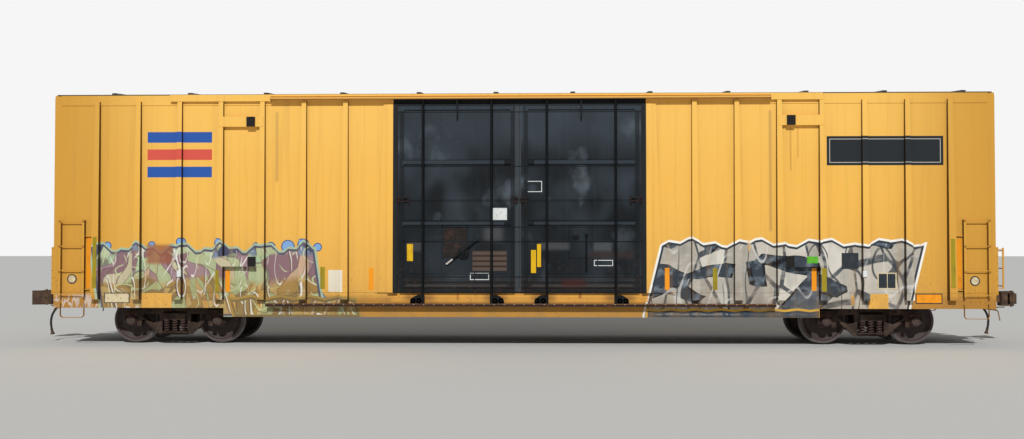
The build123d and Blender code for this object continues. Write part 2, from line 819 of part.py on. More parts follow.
with BuildPart() as brake_wheel:
    wheel_at = (BRAKE_X + 160, BRAKE_Y, BRAKE_Z)
    with BuildSketch(Plane(wheel_at, x_dir=(1, 0, 0), z_dir=(0, -1, 0))):
        with Locations((0, BRAKE_WHEEL_R - 12)):
            RegularPolygon(12, 8)
    revolve(axis=Axis(wheel_at, (1, 0, 0)))
    with Locations(Plane(wheel_at, x_dir=(0, 1, 0), z_dir=(1, 0, 0)).location):
        Cylinder(40, 20)
    for number in range(5):
        angle = math.radians(90 + 72 * number)
        reach = BRAKE_WHEEL_R - 12
        rod(
            (BRAKE_X + 160, BRAKE_Y + 30 * math.cos(angle), BRAKE_Z + 30 * math.sin(angle)),
            (BRAKE_X + 160, BRAKE_Y + reach * math.cos(angle), BRAKE_Z + reach * math.sin(angle)),
            9,
        )
write(brake_wheel, "brake_wheel")

# Air brake under the floor, hung from the top flange of a stringer

HANGER_Z = FLOOR_UNDER_Z - 8
with BuildPart() as air_reservoir:
    with Locations(Location((620, 620, RAIL_Z + 740), (0, 90, 0))):
        Cylinder(165, 980)
    fillet(air_reservoir.edges().filter_by(GeomType.CIRCLE), 60)
    for strap_x in (330, 880):
        box((strap_x, strap_x + 60), (585, 645), (RAIL_Z + 890, HANGER_Z))
write(air_reservoir, "air_reservoir")

with BuildPart() as brake_cylinder:
    with Locations(Location((-1900, -620, RAIL_Z + 760), (0, 90, 0))):
        Cylinder(140, 480)
    with Locations(Location((-1655, -620, RAIL_Z + 760), (0, 90, 0))):
        Cylinder(165, 30)
    rod((-1640, -620, RAIL_Z + 760), (-1350, -620, RAIL_Z + 760), 24)
    box((-2080, -1760), (-660, -575), (RAIL_Z + 885, HANGER_Z))
write(brake_cylinder, "brake_cylinder")

with BuildPart() as control_valve:
    box((-560, -300), (560, 760), (RAIL_Z + 700, RAIL_Z + 960))
    fillet(control_valve.edges().filter_by(Axis.Y), 40)
    box((-520, -340), (585, 720), (RAIL_Z + 960, HANGER_Z))
    with Locations(Location((-430, 780, RAIL_Z + 800), (90, 0, 0))):
        Cylinder(80, 60)
write(control_valve, "control_valve")

PIPE_R = 21
PIPE_Y = 330
PIPE_TOP_Z = CROSS_TOP_Z + PIPE_R
PIPE_LOW_Z = RAIL_Z + 690
COCK_X = BODY_X + 350

# The route of an air hose, from the angle cock to its coupling head
HOSE_D = 46
HOSE_ROUTE = [
    (BODY_X + 443, 330, RAIL_Z + 655),
    (BODY_X + 512, 330, RAIL_Z + 554),
    (BODY_X + 545, 333, RAIL_Z + 434),
    (BODY_X + 546, 337, RAIL_Z + 311),
    (BODY_X + 520, 341, RAIL_Z + 191),
]
hose_exit = Vector(*HOSE_ROUTE[0])
nipple_root = hose_exit - (Vector(*HOSE_ROUTE[1]) - hose_exit).normalized() * 55

with BuildPart() as brake_pipe:
    bent_rod(
        [
            (COCK_X, PIPE_Y, PIPE_LOW_Z),
            (BODY_X - 275, PIPE_Y, PIPE_LOW_Z),
            (BODY_X - 535, PIPE_Y, PIPE_TOP_Z),
            (515 - BODY_X, PIPE_Y, PIPE_TOP_Z),
            (315 - BODY_X, PIPE_Y, PIPE_LOW_Z),
            (135 - BODY_X, PIPE_Y, PIPE_LOW_Z),
            (-BODY_X - 5, -PIPE_Y, PIPE_LOW_Z),
            (-COCK_X, -PIPE_Y, PIPE_LOW_Z),
        ],
        60,
        PIPE_R,
    )
    # Angle cocks, each with a handle, and the bracket that hangs the pipe from the sill
    for end in (-1, 1):
        xs = sorted((end * COCK_X, end * (COCK_X + 70)))
        box(xs, (end * PIPE_Y - 34, end * PIPE_Y + 34), (PIPE_LOW_Z - 34, PIPE_LOW_Z + 34))
        xs = sorted((end * (COCK_X + 20), end * (COCK_X + 40)))
        box(xs, (end * PIPE_Y - 10, end * PIPE_Y + 90), (PIPE_LOW_Z + 34, PIPE_LOW_Z + 44))
        rod(
            (end * nipple_root.X, end * nipple_root.Y, nipple_root.Z),
            (end * hose_exit.X, end * hose_exit.Y, hose_exit.Z),
            28,
        )
        ys = sorted((end * 228, end * (PIPE_Y + 24)))
        xs = sorted((end * (STRIKER_X + 6), end * (STRIKER_X + 24)))
        box(xs, ys, (PIPE_LOW_Z - 24, PIPE_LOW_Z + 24))
write(brake_pipe, "brake_pipe")

# The lever that lifts the coupler's lock runs from the corner to under the coupler

LEVER_Z = RAIL_Z + 698
with BuildPart() as lever:
    bent_rod(
        [
            (BODY_X + 110, -1350, RAIL_Z + 500),
            (BODY_X + 70, -1350, LEVER_Z),
            (BODY_X + 70, -330, LEVER_Z),
            (PULLING_FACE_X - 230, -60, LEVER_Z),
        ],
        40,
        11,
    )
    for bracket_y in (-1230, -480):
        box((BODY_X, BODY_X + 81), (bracket_y - 8, bracket_y + 8), (LEVER_Z, LEVER_Z + 110))
with BuildPart() as uncoupling_levers:
    add(lever.part)
    add(lever.part.rotate(Axis.Z, 180))
write(uncoupling_levers, "uncoupling_levers")

# Couplers, seen from above with the pulling face at the plan's zero

HEAD_PLAN = [
    (-330, 57),
    (-310, 95),
    (-160, 150),
    (30, 225),
    (60, 205),
    (35, 165),
    (-95, 70),
    (-125, 20),
    (-130, -45),
    (-200, -60),
    (-205, -165),
    (-310, -130),
    (-330, -57),
]
LUG_PLAN = [
    (-205, -165),
    (-200, -60),
    (-130, -45),
    (-60, -75),
    (-50, -115),
    (-70, -165),
    (-120, -180),
]
KNUCKLE_PLAN = [
    (-150, -148),
    (-105, -166),
    (-40, -160),
    (0, -120),
    (10, -60),
    (0, 0),
    (-30, 25),
    (-75, 15),
    (-85, -20),
    (-75, -60),
    (-110, -64),
    (-150, -82),
]
KNUCKLE_PIN = (-110, -115)
KNUCKLE_PIN_R = 20
HEAD_HALF_H = 150
LUG_T = 35
KNUCKLE_HALF_H = HEAD_HALF_H - LUG_T - MOVE_GAP


def plan_slab(plan, z0, z1):
    """A plan outline behind the pulling face, between two heights."""
    with BuildSketch(Plane.XY.offset(z0)) as outline:
        with BuildLine():
            Polyline(*[(PULLING_FACE_X + x, y) for x, y in plan], close=True)
        make_face()
    extrude(outline.sketch, amount=z1 - z0)


PIN_X = PULLING_FACE_X + KNUCKLE_PIN[0]
PIN_Y = KNUCKLE_PIN[1]
with BuildPart() as coupler_b:
    plan_slab(HEAD_PLAN, COUPLER_Z - HEAD_HALF_H, COUPLER_Z + HEAD_HALF_H)
    plan_slab(LUG_PLAN, COUPLER_Z - HEAD_HALF_H, COUPLER_Z - HEAD_HALF_H + LUG_T)
    plan_slab(LUG_PLAN, COUPLER_Z + HEAD_HALF_H - LUG_T, COUPLER_Z + HEAD_HALF_H)
    box(
        (COUPLER_PIN_X - 85, PULLING_FACE_X - 320),
        (-SHANK_HALF_W, SHANK_HALF_W),
        (COUPLER_Z - SHANK_HALF_H, COUPLER_Z + SHANK_HALF_H),
    )
    with Locations((COUPLER_PIN_X, 0, COUPLER_Z)):
        Cylinder(COUPLER_PIN_R + RUN_GAP, 200, mode=Mode.SUBTRACT)
    with Locations((PIN_X, PIN_Y, COUPLER_Z)):
        Cylinder(KNUCKLE_PIN_R, 2 * HEAD_HALF_H + 40)
write(coupler_b, "coupler_b")

with BuildPart() as knuckle_b:
    plan_slab(KNUCKLE_PLAN, COUPLER_Z - KNUCKLE_HALF_H, COUPLER_Z + KNUCKLE_HALF_H)
    with Locations((PIN_X, PIN_Y, COUPLER_Z)):
        Cylinder(KNUCKLE_PIN_R + RUN_GAP, 400, mode=Mode.SUBTRACT)
write(knuckle_b, "knuckle_b")

with BuildPart() as coupler_a:
    add(coupler_b.part.rotate(Axis.Z, 180))
write(coupler_a, "coupler_a")
with BuildPart() as knuckle_a:
    add(knuckle_b.part.rotate(Axis.Z, 180))
write(knuckle_a, "knuckle_a")

# Air hoses hang from the angle cocks, from the exit to the coupling head

HOSE_RADII = []
for before, at, after in zip(HOSE_ROUTE, HOSE_ROUTE[1:], HOSE_ROUTE[2:]):
    run_in = Vector(*at) - Vector(*before)
    run_out = Vector(*after) - Vector(*at)
    turn = math.radians(run_in.get_angle(run_out))
    HOSE_RADII.append(0.45 * min(run_in.length, run_out.length) / math.tan(turn / 2))
print("hose radii", [round(radius) for radius in HOSE_RADII])

with BuildPart() as air_hose_b:
    with BuildLine() as hose_path:
        FilletPolyline(*HOSE_ROUTE, radius=HOSE_RADII)
    with BuildSketch(hose_path.line ^ 0):
        Circle(HOSE_D / 2)
    sweep(path=hose_path.line)
print("hose length", round(sum(edge.length for edge in hose_path.edges())))
write(air_hose_b, "air_hose_b")

with BuildPart() as gladhand_b:
    foot = Vector(*HOSE_ROUTE[-1])
    fall = (foot - Vector(*HOSE_ROUTE[-2])).normalized()
    neck = Plane(foot, x_dir=(0, 1, 0), z_dir=fall)
    with BuildSketch(neck):
        Circle(HOSE_D / 2 + 5)
    extrude(amount=34)
    with BuildSketch(neck.offset(34)):
        Rectangle(52, 48)
    with BuildSketch(neck.offset(70)):
        Rectangle(88, 58)
    loft(ruled=True)
    with BuildSketch(neck.offset(70)):
        Rectangle(88, 58)
    extrude(amount=14)
write(gladhand_b, "gladhand_b")

with BuildPart() as air_hose_a:
    add(air_hose_b.part.rotate(Axis.Z, 180))
write(air_hose_a, "air_hose_a")
with BuildPart() as gladhand_a:
    add(gladhand_b.part.rotate(Axis.Z, 180))
write(gladhand_a, "gladhand_a")

# Trucks

FRAME_Y = (940, 1066)
# The side frame's edge from bottom middle to top middle, as distance from the middle and height
FRAME_EDGE = [
    (320, 165),
    (600, 415),
    (625, 470),
    (HALF_WHEELBASE - 199, 470),
    (HALF_WHEELBASE - 199, 342),
    (HALF_WHEELBASE - 119, 342),
    (HALF_WHEELBASE - 108, 360),
    (HALF_WHEELBASE - 108, 592),
    (HALF_WHEELBASE + 108, 592),
    (HALF_WHEELBASE + 108, 420),
    (HALF_WHEELBASE + 156, 420),
    (HALF_WHEELBASE + 171, 640),
    (HALF_WHEELBASE + 121, 668),
    (720, 672),
    (560, 700),
]
BOLSTER_HALF = 222
FRAME_WINDOW = [
    (318, 590),
    (630, 590),
    (655, 560),
    (655, 520),
    (455, 404),
    (318, 432),
]
BOLSTER_WINDOW = [
    (228, 640),
    (BOLSTER_HALF + MOVE_GAP, 470),
    (262, 440),
    (262, 232),
]
SPRING_SEAT_Z = RAIL_Z + 232
SPRING_TOP_Z = RAIL_Z + 475
SPRING_R = 62
SPRING_PITCH = 165
SPRING_ROW = 66
BEARING_R = 104
BEARING_Y = (918, 1092)
BOWL_Z = CENTRE_PLATE_Z - SEAT_GAP
BEAM_Z = (RAIL_Z + 395, RAIL_Z + 430)
SHOE_Y = 768
SHOE_HALF_W = 45
SHOE_T = 50
SHOE_FACE_R = WHEEL_R + MOVE_GAP + 2
SHOE_BACK = HALF_WHEELBASE - SHOE_FACE_R - SHOE_T
# A brake beam hangs 27/38 of the way from the bolster's side to the backs of the shoes
BEAM_X = BOLSTER_HALF + (SHOE_BACK - BOLSTER_HALF) * 27 / 38


def mirrored_outline(edge, middle_x):
    """An outline in X, Z from its right half, mirrored to the left of middle_x."""
    right = [(middle_x + u, RAIL_Z + z) for u, z in edge]
    left = [(middle_x - u, RAIL_Z + z) for u, z in reversed(edge)]
    return right + left


for truck_name, truck_x in (("a", -TRUCK_X), ("b", TRUCK_X)):
    axle_xs = [truck_x - HALF_WHEELBASE, truck_x + HALF_WHEELBASE]

    with BuildPart() as side_frames:
        slab_along_y(mirrored_outline(FRAME_EDGE, truck_x), *FRAME_Y)
        slab_along_y(mirrored_outline(BOLSTER_WINDOW, truck_x), *FRAME_Y, mode=Mode.SUBTRACT)
        for hand in (-1, 1):
            window = [(truck_x + hand * u, RAIL_Z + z) for u, z in FRAME_WINDOW]
            slab_along_y(window, *FRAME_Y, mode=Mode.SUBTRACT)
        box((truck_x - 275, truck_x + 275), (870, 1136), (SPRING_SEAT_Z - 22, SPRING_SEAT_Z))
        both_sides()
    write(side_frames, f"side_frames_{truck_name}")

    with BuildPart() as springs:
        for column in (-1, 0, 1):
            for row in (-1, 1):
                spring_at = (
                    truck_x + column * SPRING_PITCH,
                    JOURNAL_Y + row * SPRING_ROW,
                    (SPRING_SEAT_Z + SPRING_TOP_Z) / 2,
                )
                with Locations(spring_at):
                    Cylinder(SPRING_R, SPRING_TOP_Z - SPRING_SEAT_Z)
        both_sides()
    write(springs, f"springs_{truck_name}")

    with BuildPart() as truck_bolster:
        slab_along_x(
            [
                (-1125, SPRING_TOP_Z),
                (-850, SPRING_TOP_Z),
                (-650, RAIL_Z + 340),
                (650, RAIL_Z + 340),
                (850, SPRING_TOP_Z),
                (1125, SPRING_TOP_Z),
                (1125, RAIL_Z + 600),
                (1080, RAIL_Z + 625),
                (-1080, RAIL_Z + 625),
                (-1125, RAIL_Z + 600),
            ],
            truck_x - BOLSTER_HALF,
            truck_x + BOLSTER_HALF,
        )
        with Locations((truck_x, 0, RAIL_Z + 625)):
            Cylinder(BOLSTER_HALF, 44, align=(Align.CENTER, Align.CENTER, Align.MIN))
        with Locations((truck_x, 0, BOWL_Z)):
            Cylinder(
                CENTRE_PLATE_R + MOVE_GAP,
                80,
                align=(Align.CENTER, Align.CENTER, Align.MIN),
                mode=Mode.SUBTRACT,
            )
        for bearing_y in (-635, 635):
            box(
                (truck_x - 100, truck_x + 100),
                (bearing_y - 50, bearing_y + 50),
                (RAIL_Z + 625, RAIL_Z + 690),
            )
    write(truck_bolster, f"truck_bolster_{truck_name}")

    with BuildPart() as brake_beams:
        for hand in (-1, 1):
            middle_x = truck_x + hand * BEAM_X
            box((middle_x - 25, middle_x + 25), (-FRAME_Y[0], FRAME_Y[0]), BEAM_Z)
            box((middle_x - 60, middle_x + 60), (-20, 20), BEAM_Z)
            axle_x = truck_x + hand * HALF_WHEELBASE
            head_xs = sorted((middle_x + hand * 20, truck_x + hand * (SHOE_BACK + 11)))
            for head_y in (-SHOE_Y, SHOE_Y):
                box(head_xs, (head_y - 28, head_y + 28), (BEAM_Z[0], BEAM_Z[1] + 50))
            for shoe_y in (-SHOE_Y, SHOE_Y):
                shoe_plane = Plane.XZ.offset(SHOE_HALF_W - shoe_y)
                with BuildSketch(shoe_plane):
                    with BuildLine():
                        tips = []
                        for radius in (SHOE_FACE_R, SHOE_FACE_R + SHOE_T):
                            for angle in (-22, 0, 22):
                                swing = math.radians(180 + angle if hand > 0 else angle)
                                tips.append(
                                    (
                                        axle_x + radius * math.cos(swing),
                                        AXLE_Z + radius * math.sin(swing),
                                    )
                                )
                        ThreePointArc(tips[0], tips[1], tips[2])
                        Line(tips[2], tips[5])
                        ThreePointArc(tips[5], tips[4], tips[3])
                        Line(tips[3], tips[0])
                    make_face()
                extrude(amount=-2 * SHOE_HALF_W)
    write(brake_beams, f"brake_beams_{truck_name}")

    with BuildPart() as bearings:
        for axle_x in axle_xs:
            for hand in (-1, 1):
                ends = sorted((hand * BEARING_Y[0], hand * BEARING_Y[1]))
                box(
                    (axle_x - BEARING_R, axle_x + BEARING_R),
                    (ends[0] + 20, ends[1] - 20),
                    (AXLE_Z + 80, RAIL_Z + 592),
                )
                middle_y = hand * sum(BEARING_Y) / 2
                with Locations(Location((axle_x, middle_y, AXLE_Z), (90, 0, 0))):
                    Cylinder(BEARING_R, BEARING_Y[1] - BEARING_Y[0])
                    Cylinder(JOURNAL_R + RUN_GAP, 400, mode=Mode.SUBTRACT)
    write(bearings, f"bearings_{truck_name}")

# Wheelsets: half the axle and one wheel as distance from the middle and radius

WHEELSET_EDGE = [
    (0, 0),
    (0, 82),
    (400, 84),
    (640, 105),
    (655, 105),
    (655, 150),
    (692, 165),
    (722, 330),
    (704, 392),
    (RIM_BACK_Y, 402),
    (RIM_BACK_Y, 470),
    (686, WHEEL_R + FLANGE_H),
    (698, WHEEL_R + FLANGE_H),
    (712, WHEEL_R + 4),
    (RIM_BACK_Y + RIM_W, WHEEL_R - 4),
    (RIM_BACK_Y + RIM_W, 402),
    (794, 390),
    (752, 330),
    (726, 178),
    (745, 152),
    (828, 146),
    (828, 105),
    (874, 105),
    (880, 98),
    (912, 98),
    (912, JOURNAL_R),
    (1098, JOURNAL_R),
    (1098, 92),
    (1136, 86),
    (1146, 50),
    (1146, 0),
]
wheelset_xs = [
    -TRUCK_X - HALF_WHEELBASE,
    -TRUCK_X + HALF_WHEELBASE,
    TRUCK_X - HALF_WHEELBASE,
    TRUCK_X + HALF_WHEELBASE,
]
for number, wheelset_x in enumerate(wheelset_xs, start=1):
    with BuildPart() as wheelset:
        with BuildSketch(Plane.YZ.offset(wheelset_x)):
            with BuildLine():
                Polyline(*[(y, AXLE_Z + r) for y, r in WHEELSET_EDGE], close=True)
            make_face()
        revolve(axis=Axis((wheelset_x, 0, AXLE_Z), (0, 1, 0)))
        both_sides()
    write(wheelset, f"wheelset_{number}")
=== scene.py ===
"""A weathered high-cube boxcar with outside posts and plug doors, dressed round its CAD frame."""
import json
import math

import bmesh
import bpy
import numpy as np
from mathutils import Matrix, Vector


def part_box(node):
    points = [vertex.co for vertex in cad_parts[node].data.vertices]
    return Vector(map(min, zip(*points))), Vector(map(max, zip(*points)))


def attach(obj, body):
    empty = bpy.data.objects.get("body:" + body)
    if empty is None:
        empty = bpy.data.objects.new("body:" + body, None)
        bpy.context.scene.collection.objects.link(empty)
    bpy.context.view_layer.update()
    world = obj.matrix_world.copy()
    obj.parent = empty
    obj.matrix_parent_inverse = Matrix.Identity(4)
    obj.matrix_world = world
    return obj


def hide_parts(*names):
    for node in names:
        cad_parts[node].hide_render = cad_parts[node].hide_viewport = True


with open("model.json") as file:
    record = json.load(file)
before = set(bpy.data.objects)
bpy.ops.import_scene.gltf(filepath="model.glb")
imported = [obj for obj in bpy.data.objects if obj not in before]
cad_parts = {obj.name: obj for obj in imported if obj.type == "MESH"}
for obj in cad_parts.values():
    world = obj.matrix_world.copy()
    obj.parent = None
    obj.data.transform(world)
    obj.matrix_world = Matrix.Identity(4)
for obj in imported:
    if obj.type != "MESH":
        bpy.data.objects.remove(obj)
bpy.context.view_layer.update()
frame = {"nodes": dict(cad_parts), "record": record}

# Camera, 22 m from the side, a little right of the middle and 2 m up

camera_data = bpy.data.cameras.new("camera")
camera_data.sensor_width = 36
camera_data.lens = 39.09
camera_data.clip_end = 400
camera = bpy.data.objects.new("camera", camera_data)
camera.location = (0.476, -23.64, 1.999)
camera.rotation_euler = (math.pi / 2 + 0.024, 0, 0.028)
bpy.context.collection.objects.link(camera)
bpy.context.scene.camera = camera

# Sizes that the CAD frame has too, in metres

SIDE_Y = 1.46
DOOR_Y = 1.49
FRAME_Y = 1.522
ROD_Y = 1.557
BODY_X = 9.395
TRUCK_X = 7.0485
HALF_WHEELBASE = 0.889
AXLE_Z = 0.485
AXLE_END_Y = 1.144
SIDE_FRAME_Y = 1.066
FIRST_POST_X = 3.408
POST_PITCH = 0.838
POST_FOOT_Z = 0.933
ROD_XS = (0.55, 1.92)
LADDER_XS = (8.765, 9.244)
RUNG_PITCH = 0.508
FIRST_CAP_X = -8.1855
CAP_PITCH = 1.543

ALONG_X, ALONG_Y, ALONG_Z = (1, 0, 0), (0, 1, 0), (0, 0, 1)


def linear(code):
    """An sRGB hex colour as linear red, green and blue, with alpha."""
    srgb = np.array([int(code[place:place + 2], 16) for place in (1, 3, 5)]) / 255
    value = np.where(srgb <= 0.04045, srgb / 12.92, ((srgb + 0.055) / 1.055) ** 2.4)
    return (*value.tolist(), 1.0)


def add(tree, kind, *values, inputs=None, out=0, stops=(), **settings):
    """Adds one node with its settings, values, links and ramp stops, and returns one output.

    kind may end in the node's operation. The values fill its inputs in their order.
    """
    kind, *operation = kind.split()
    new = tree.nodes.new("ShaderNode" + kind)
    if operation:
        new.operation = operation[0]
    for key, value in settings.items():
        setattr(new, key, value)
    for key, value in (*enumerate(values), *(inputs or {}).items()):
        if isinstance(value, bpy.types.NodeSocket):
            tree.links.new(value, new.inputs[key])
        else:
            new.inputs[key].default_value = value
    for number, (place, code) in enumerate(stops):
        ramp = new.color_ramp
        ramp.interpolation = "CONSTANT"
        stop = ramp.elements[number] if number < 2 else ramp.elements.new(place)
        stop.position = place
        stop.color = linear(code)
    return new.outputs[out]


SMOOTH = {"interpolation_type": "SMOOTHSTEP"}


def laid(tree, colour, over, *masks):
    """The colour with another, a hex code or a socket, over it by the product of the masks."""
    mask = masks[0]
    for other in masks[1:]:
        mask = add(tree, "Math MULTIPLY", mask, other)
    over = linear(over) if isinstance(over, str) else over
    return add(tree, "Mix", inputs={0: mask, 6: colour, 7: over}, out=2, data_type="RGBA")


def start_material(name, base, rough, sheen=0.5, metallic=0.0):
    """A material, its tree and shader, Object coordinates for its patterns, and its base colour."""
    material = bpy.data.materials.new(name)
    material.use_nodes = True
    tree = material.node_tree
    shader = tree.nodes["Principled BSDF"]
    shader.inputs["Roughness"].default_value = rough
    shader.inputs["Metallic"].default_value = metallic
    shader.inputs["Specular IOR Level"].default_value = sheen
    colour = add(tree, "RGB")
    colour.default_value = linear(base)
    return material, tree, shader, add(tree, "TexCoord", out=3), colour


def end_material(tree, shader, colour, relief, height):
    """Links the colour, and relief as a bump of so many metres, to the shader."""
    tree.links.new(colour, shader.inputs["Base Color"])
    if height:
        normal = add(tree, "Bump", inputs={"Height": relief, "Distance": height, "Strength": 1.0})
        tree.links.new(normal, shader.inputs["Normal"])


def speckle(tree, place, scale, low, high, amount=1.0, detail=4.0):
    """Noise that is 0 below low and amount above high.

    scale is how many waves of it go in a metre, as one number or one for each of X, Y and Z.
    """
    scale = scale if isinstance(scale, tuple) else (scale, scale, scale)
    stretched = add(tree, "VectorMath MULTIPLY", place, scale)
    noise = add(tree, "TexNoise", inputs={"Vector": stretched, "Scale": 1.0, "Detail": detail})
    return add(tree, "MapRange", noise, low, high, 0, amount)


def finish(name, base, rough, grain, *layers, metallic=0.0):
    """A finish with layers of colour, each (colour, scale, low, high, amount).

    A layer may go on with (axis, coordinate where it is absent, coordinate where it is full).
    grain is the bump's waves in a metre and its height in metres. Roughness varies by 0.12.
    """
    material, tree, shader, place, colour = start_material(name, base, rough, 0.25, metallic)
    axes = add(tree, "SeparateXYZ", place).node.outputs
    for code, scale, low, high, amount, *fades in layers:
        masks = [speckle(tree, place, scale, low, high, amount)]
        for axis, absent, full in fades:
            masks.append(add(tree, "MapRange", axes[axis], absent, full, **SMOOTH))
        colour = laid(tree, colour, code, *masks)
    uneven = speckle(tree, place, (7.0, 7.0, 5.0), 0.3, 0.7)
    uneven = add(tree, "MapRange", inputs={0: uneven, 3: rough - 0.12, 4: min(rough + 0.12, 1)})
    tree.links.new(uneven, shader.inputs["Roughness"])
    waves, height = grain
    end_material(tree, shader, colour, speckle(tree, place, waves, 0.2, 0.8), height)
    return material


def band(tree, value, low, high, soft=0.004):
    """1 between low and high, falling to 0 over soft metres on each side."""
    half = (high - low) / 2
    off = add(tree, "Math SUBTRACT", value, (low + high) / 2)
    off = add(tree, "Math ABSOLUTE", off)
    return add(tree, "MapRange", off, half + soft, half - soft, **SMOOTH)


def area(tree, across, up, box, soft=0.004):
    """1 inside a rectangle (left, right, bottom, top) of the car's side, as seen facing it."""
    left, right, bottom, top = box
    wide = band(tree, across, left, right, soft)
    high = band(tree, up, bottom, top, soft)
    return add(tree, "Math MULTIPLY", wide, high)


def patches(tree, colour, across, up, rows, *masks):
    """Rectangles over the colour, by rows (colour, soft edge, amount, rectangle, ...)."""
    for code, soft, amount, *boxes in rows:
        for box in boxes:
            inside = area(tree, across, up, box, soft)
            colour = laid(tree, colour, code, inside, amount, *masks)
    return colour


def warped(tree, flat, scale, reach, turn, stretch, seed):
    """The flat coordinates pushed about by noise, then turned and stretched."""
    moved = add(tree, "VectorMath ADD", flat, (seed, 0.0, 0.0))
    if reach:
        push = add(tree, "TexNoise", inputs={"Vector": moved, "Scale": scale, "Detail": 1.0}, out=1)
        push = add(tree, "VectorMath SUBTRACT", push, (0.5, 0.5, 0.5))
        push = add(tree, "VectorMath MULTIPLY", push, (reach, reach, 0.0))
        moved = add(tree, "VectorMath ADD", moved, push)
    return add(tree, "Mapping", inputs={"Vector": moved, "Rotation": (0.0, 0.0, turn), "Scale": stretch})


def depth_within(tree, across, up, box, slant, zigzag):
    """Distance in metres inside a leaning rectangle whose top runs in straight zigzags.

    zigzag has rows (offset, half period, slope), each one a triangle wave along the car. The
    rectangle leans about a height of 1.3 m.
    """
    left, right, bottom, top = box
    middle = (left + right) / 2 + 1.3 * slant
    lean = add(tree, "Math MULTIPLY", up, slant)
    off = add(tree, "Math ADD", across, lean)
    off = add(tree, "Math SUBTRACT", off, middle)
    off = add(tree, "Math ABSOLUTE", off)
    from_side = add(tree, "Math SUBTRACT", (right - left) / 2, off)
    from_top = add(tree, "Math SUBTRACT", top, up)
    for offset, period, slope in zigzag:
        wave = add(tree, "Math ADD", across, offset)
        wave = add(tree, "Math PINGPONG", wave, period)
        wave = add(tree, "Math MULTIPLY", wave, slope)
        from_top = add(tree, "Math SUBTRACT", from_top, wave)
    from_foot = add(tree, "Math SUBTRACT", up, bottom)
    depth = add(tree, "Math MINIMUM", from_side, from_top)
    return add(tree, "Math MINIMUM", depth, from_foot)


def deeper(tree, depth, least, amount=1.0):
    """amount where the depth is more than least, with an edge 8 mm soft."""
    return add(tree, "MapRange", depth, least - 0.004, least + 0.004, 0, amount)


def cells(tree, space, scale, stops, outline, width, amount):
    """Cells of flat colour between outlines of a half width, and each cell's own number."""
    cell = {"Vector": space, "Scale": scale}
    pick = add(tree, "SeparateColor", add(tree, "TexVoronoi", inputs=cell, out=1))
    colour = add(tree, "ValToRGB", pick, stops=stops)
    edge = add(tree, "TexVoronoi", inputs=cell, feature="DISTANCE_TO_EDGE")
    drawn = add(tree, "MapRange", edge, width, 0.7 * width, 0, amount)
    return laid(tree, colour, outline, drawn), pick


def strokes(tree, flat, scale, turn, stretch, width, seed, low=0.45, high=0.52):
    """Short curved lines: where smooth noise passes its middle, broken up by coarser noise."""
    space = warped(tree, flat, 1.0, 0.0, turn, stretch, seed)
    noise = add(tree, "TexNoise", inputs={"Vector": space, "Scale": scale, "Detail": 0.0})
    line = band(tree, noise, 0.5 - width, 0.5 + width, 0.4 * width)
    coarse = {"Vector": space, "Scale": 0.8 * scale, "W": 3.0}
    kept = add(tree, "TexNoise", inputs=coarse, noise_dimensions="4D")
    kept = add(tree, "MapRange", kept, low, high)
    return add(tree, "Math MULTIPLY", line, kept)


def side_view(tree, place):
    """Across and up as one sees them facing either side, and how far off the middle a point is."""
    x, y, up = add(tree, "SeparateXYZ", place).node.outputs
    hand = add(tree, "Math SIGN", y)
    hand = add(tree, "Math MULTIPLY", hand, -1.0)
    across = add(tree, "Math MULTIPLY", x, hand)
    flat = add(tree, "CombineXYZ", across, up, 0.0)
    from_middle = add(tree, "Math ABSOLUTE", x)
    reach_y = add(tree, "Math ABSOLUTE", y)
    return across, up, flat, from_middle, reach_y


# Colours of the loose painted designs: leaves on the left, shards on the right
LEAVES = [
    (0.0, "#B3BC90"), (0.22, "#A08289"), (0.44, "#C6BC9A"), (0.6, "#A9C29A"), (0.74, "#8D6E72"),
    (0.88, "#C9A98C"),
]
NIGHT = [
    (0.0, "#44506E"), (0.24, "#B3BC90"), (0.5, "#7F8CA4"), (0.62, "#BFC9A4"), (0.8, "#A08289"),
]
EARTH = [
    (0.0, "#A8843F"), (0.38, "#C2A462"), (0.58, "#8E7440"), (0.76, "#A9B07C"), (0.88, "#C99A48"),
]
SHARDS = [(0.0, "#C8C2B5"), (0.34, "#B4AEA2"), (0.62, "#DCD7CB"), (0.84, "#BEB8AB")]
SLATE = [(0.0, "#49535D"), (0.12, "#363F48"), (0.3, "#5B656E")]
# Round blots by their place across and up, and their radius
BLOTS = (
    (-8.361, 1.803, 0.098), (-8.3, 2.01, 0.07), (-6.79, 2.085, 0.075), (-6.037, 2.065, 0.085),
    (-5.283, 1.992, 0.075), (-5.12, 1.9, 0.07), (-4.99, 1.99, 0.084), (-4.642, 1.99, 0.125),
    (-4.33, 2.03, 0.111), (-4.044, 1.98, 0.075), (-4.06, 0.93, 0.17), (-3.859, 0.867, 0.104),
    (-4.276, 0.839, 0.125), (-3.65, 0.695, 0.08), (-7.4, 2.03, 0.06),
)


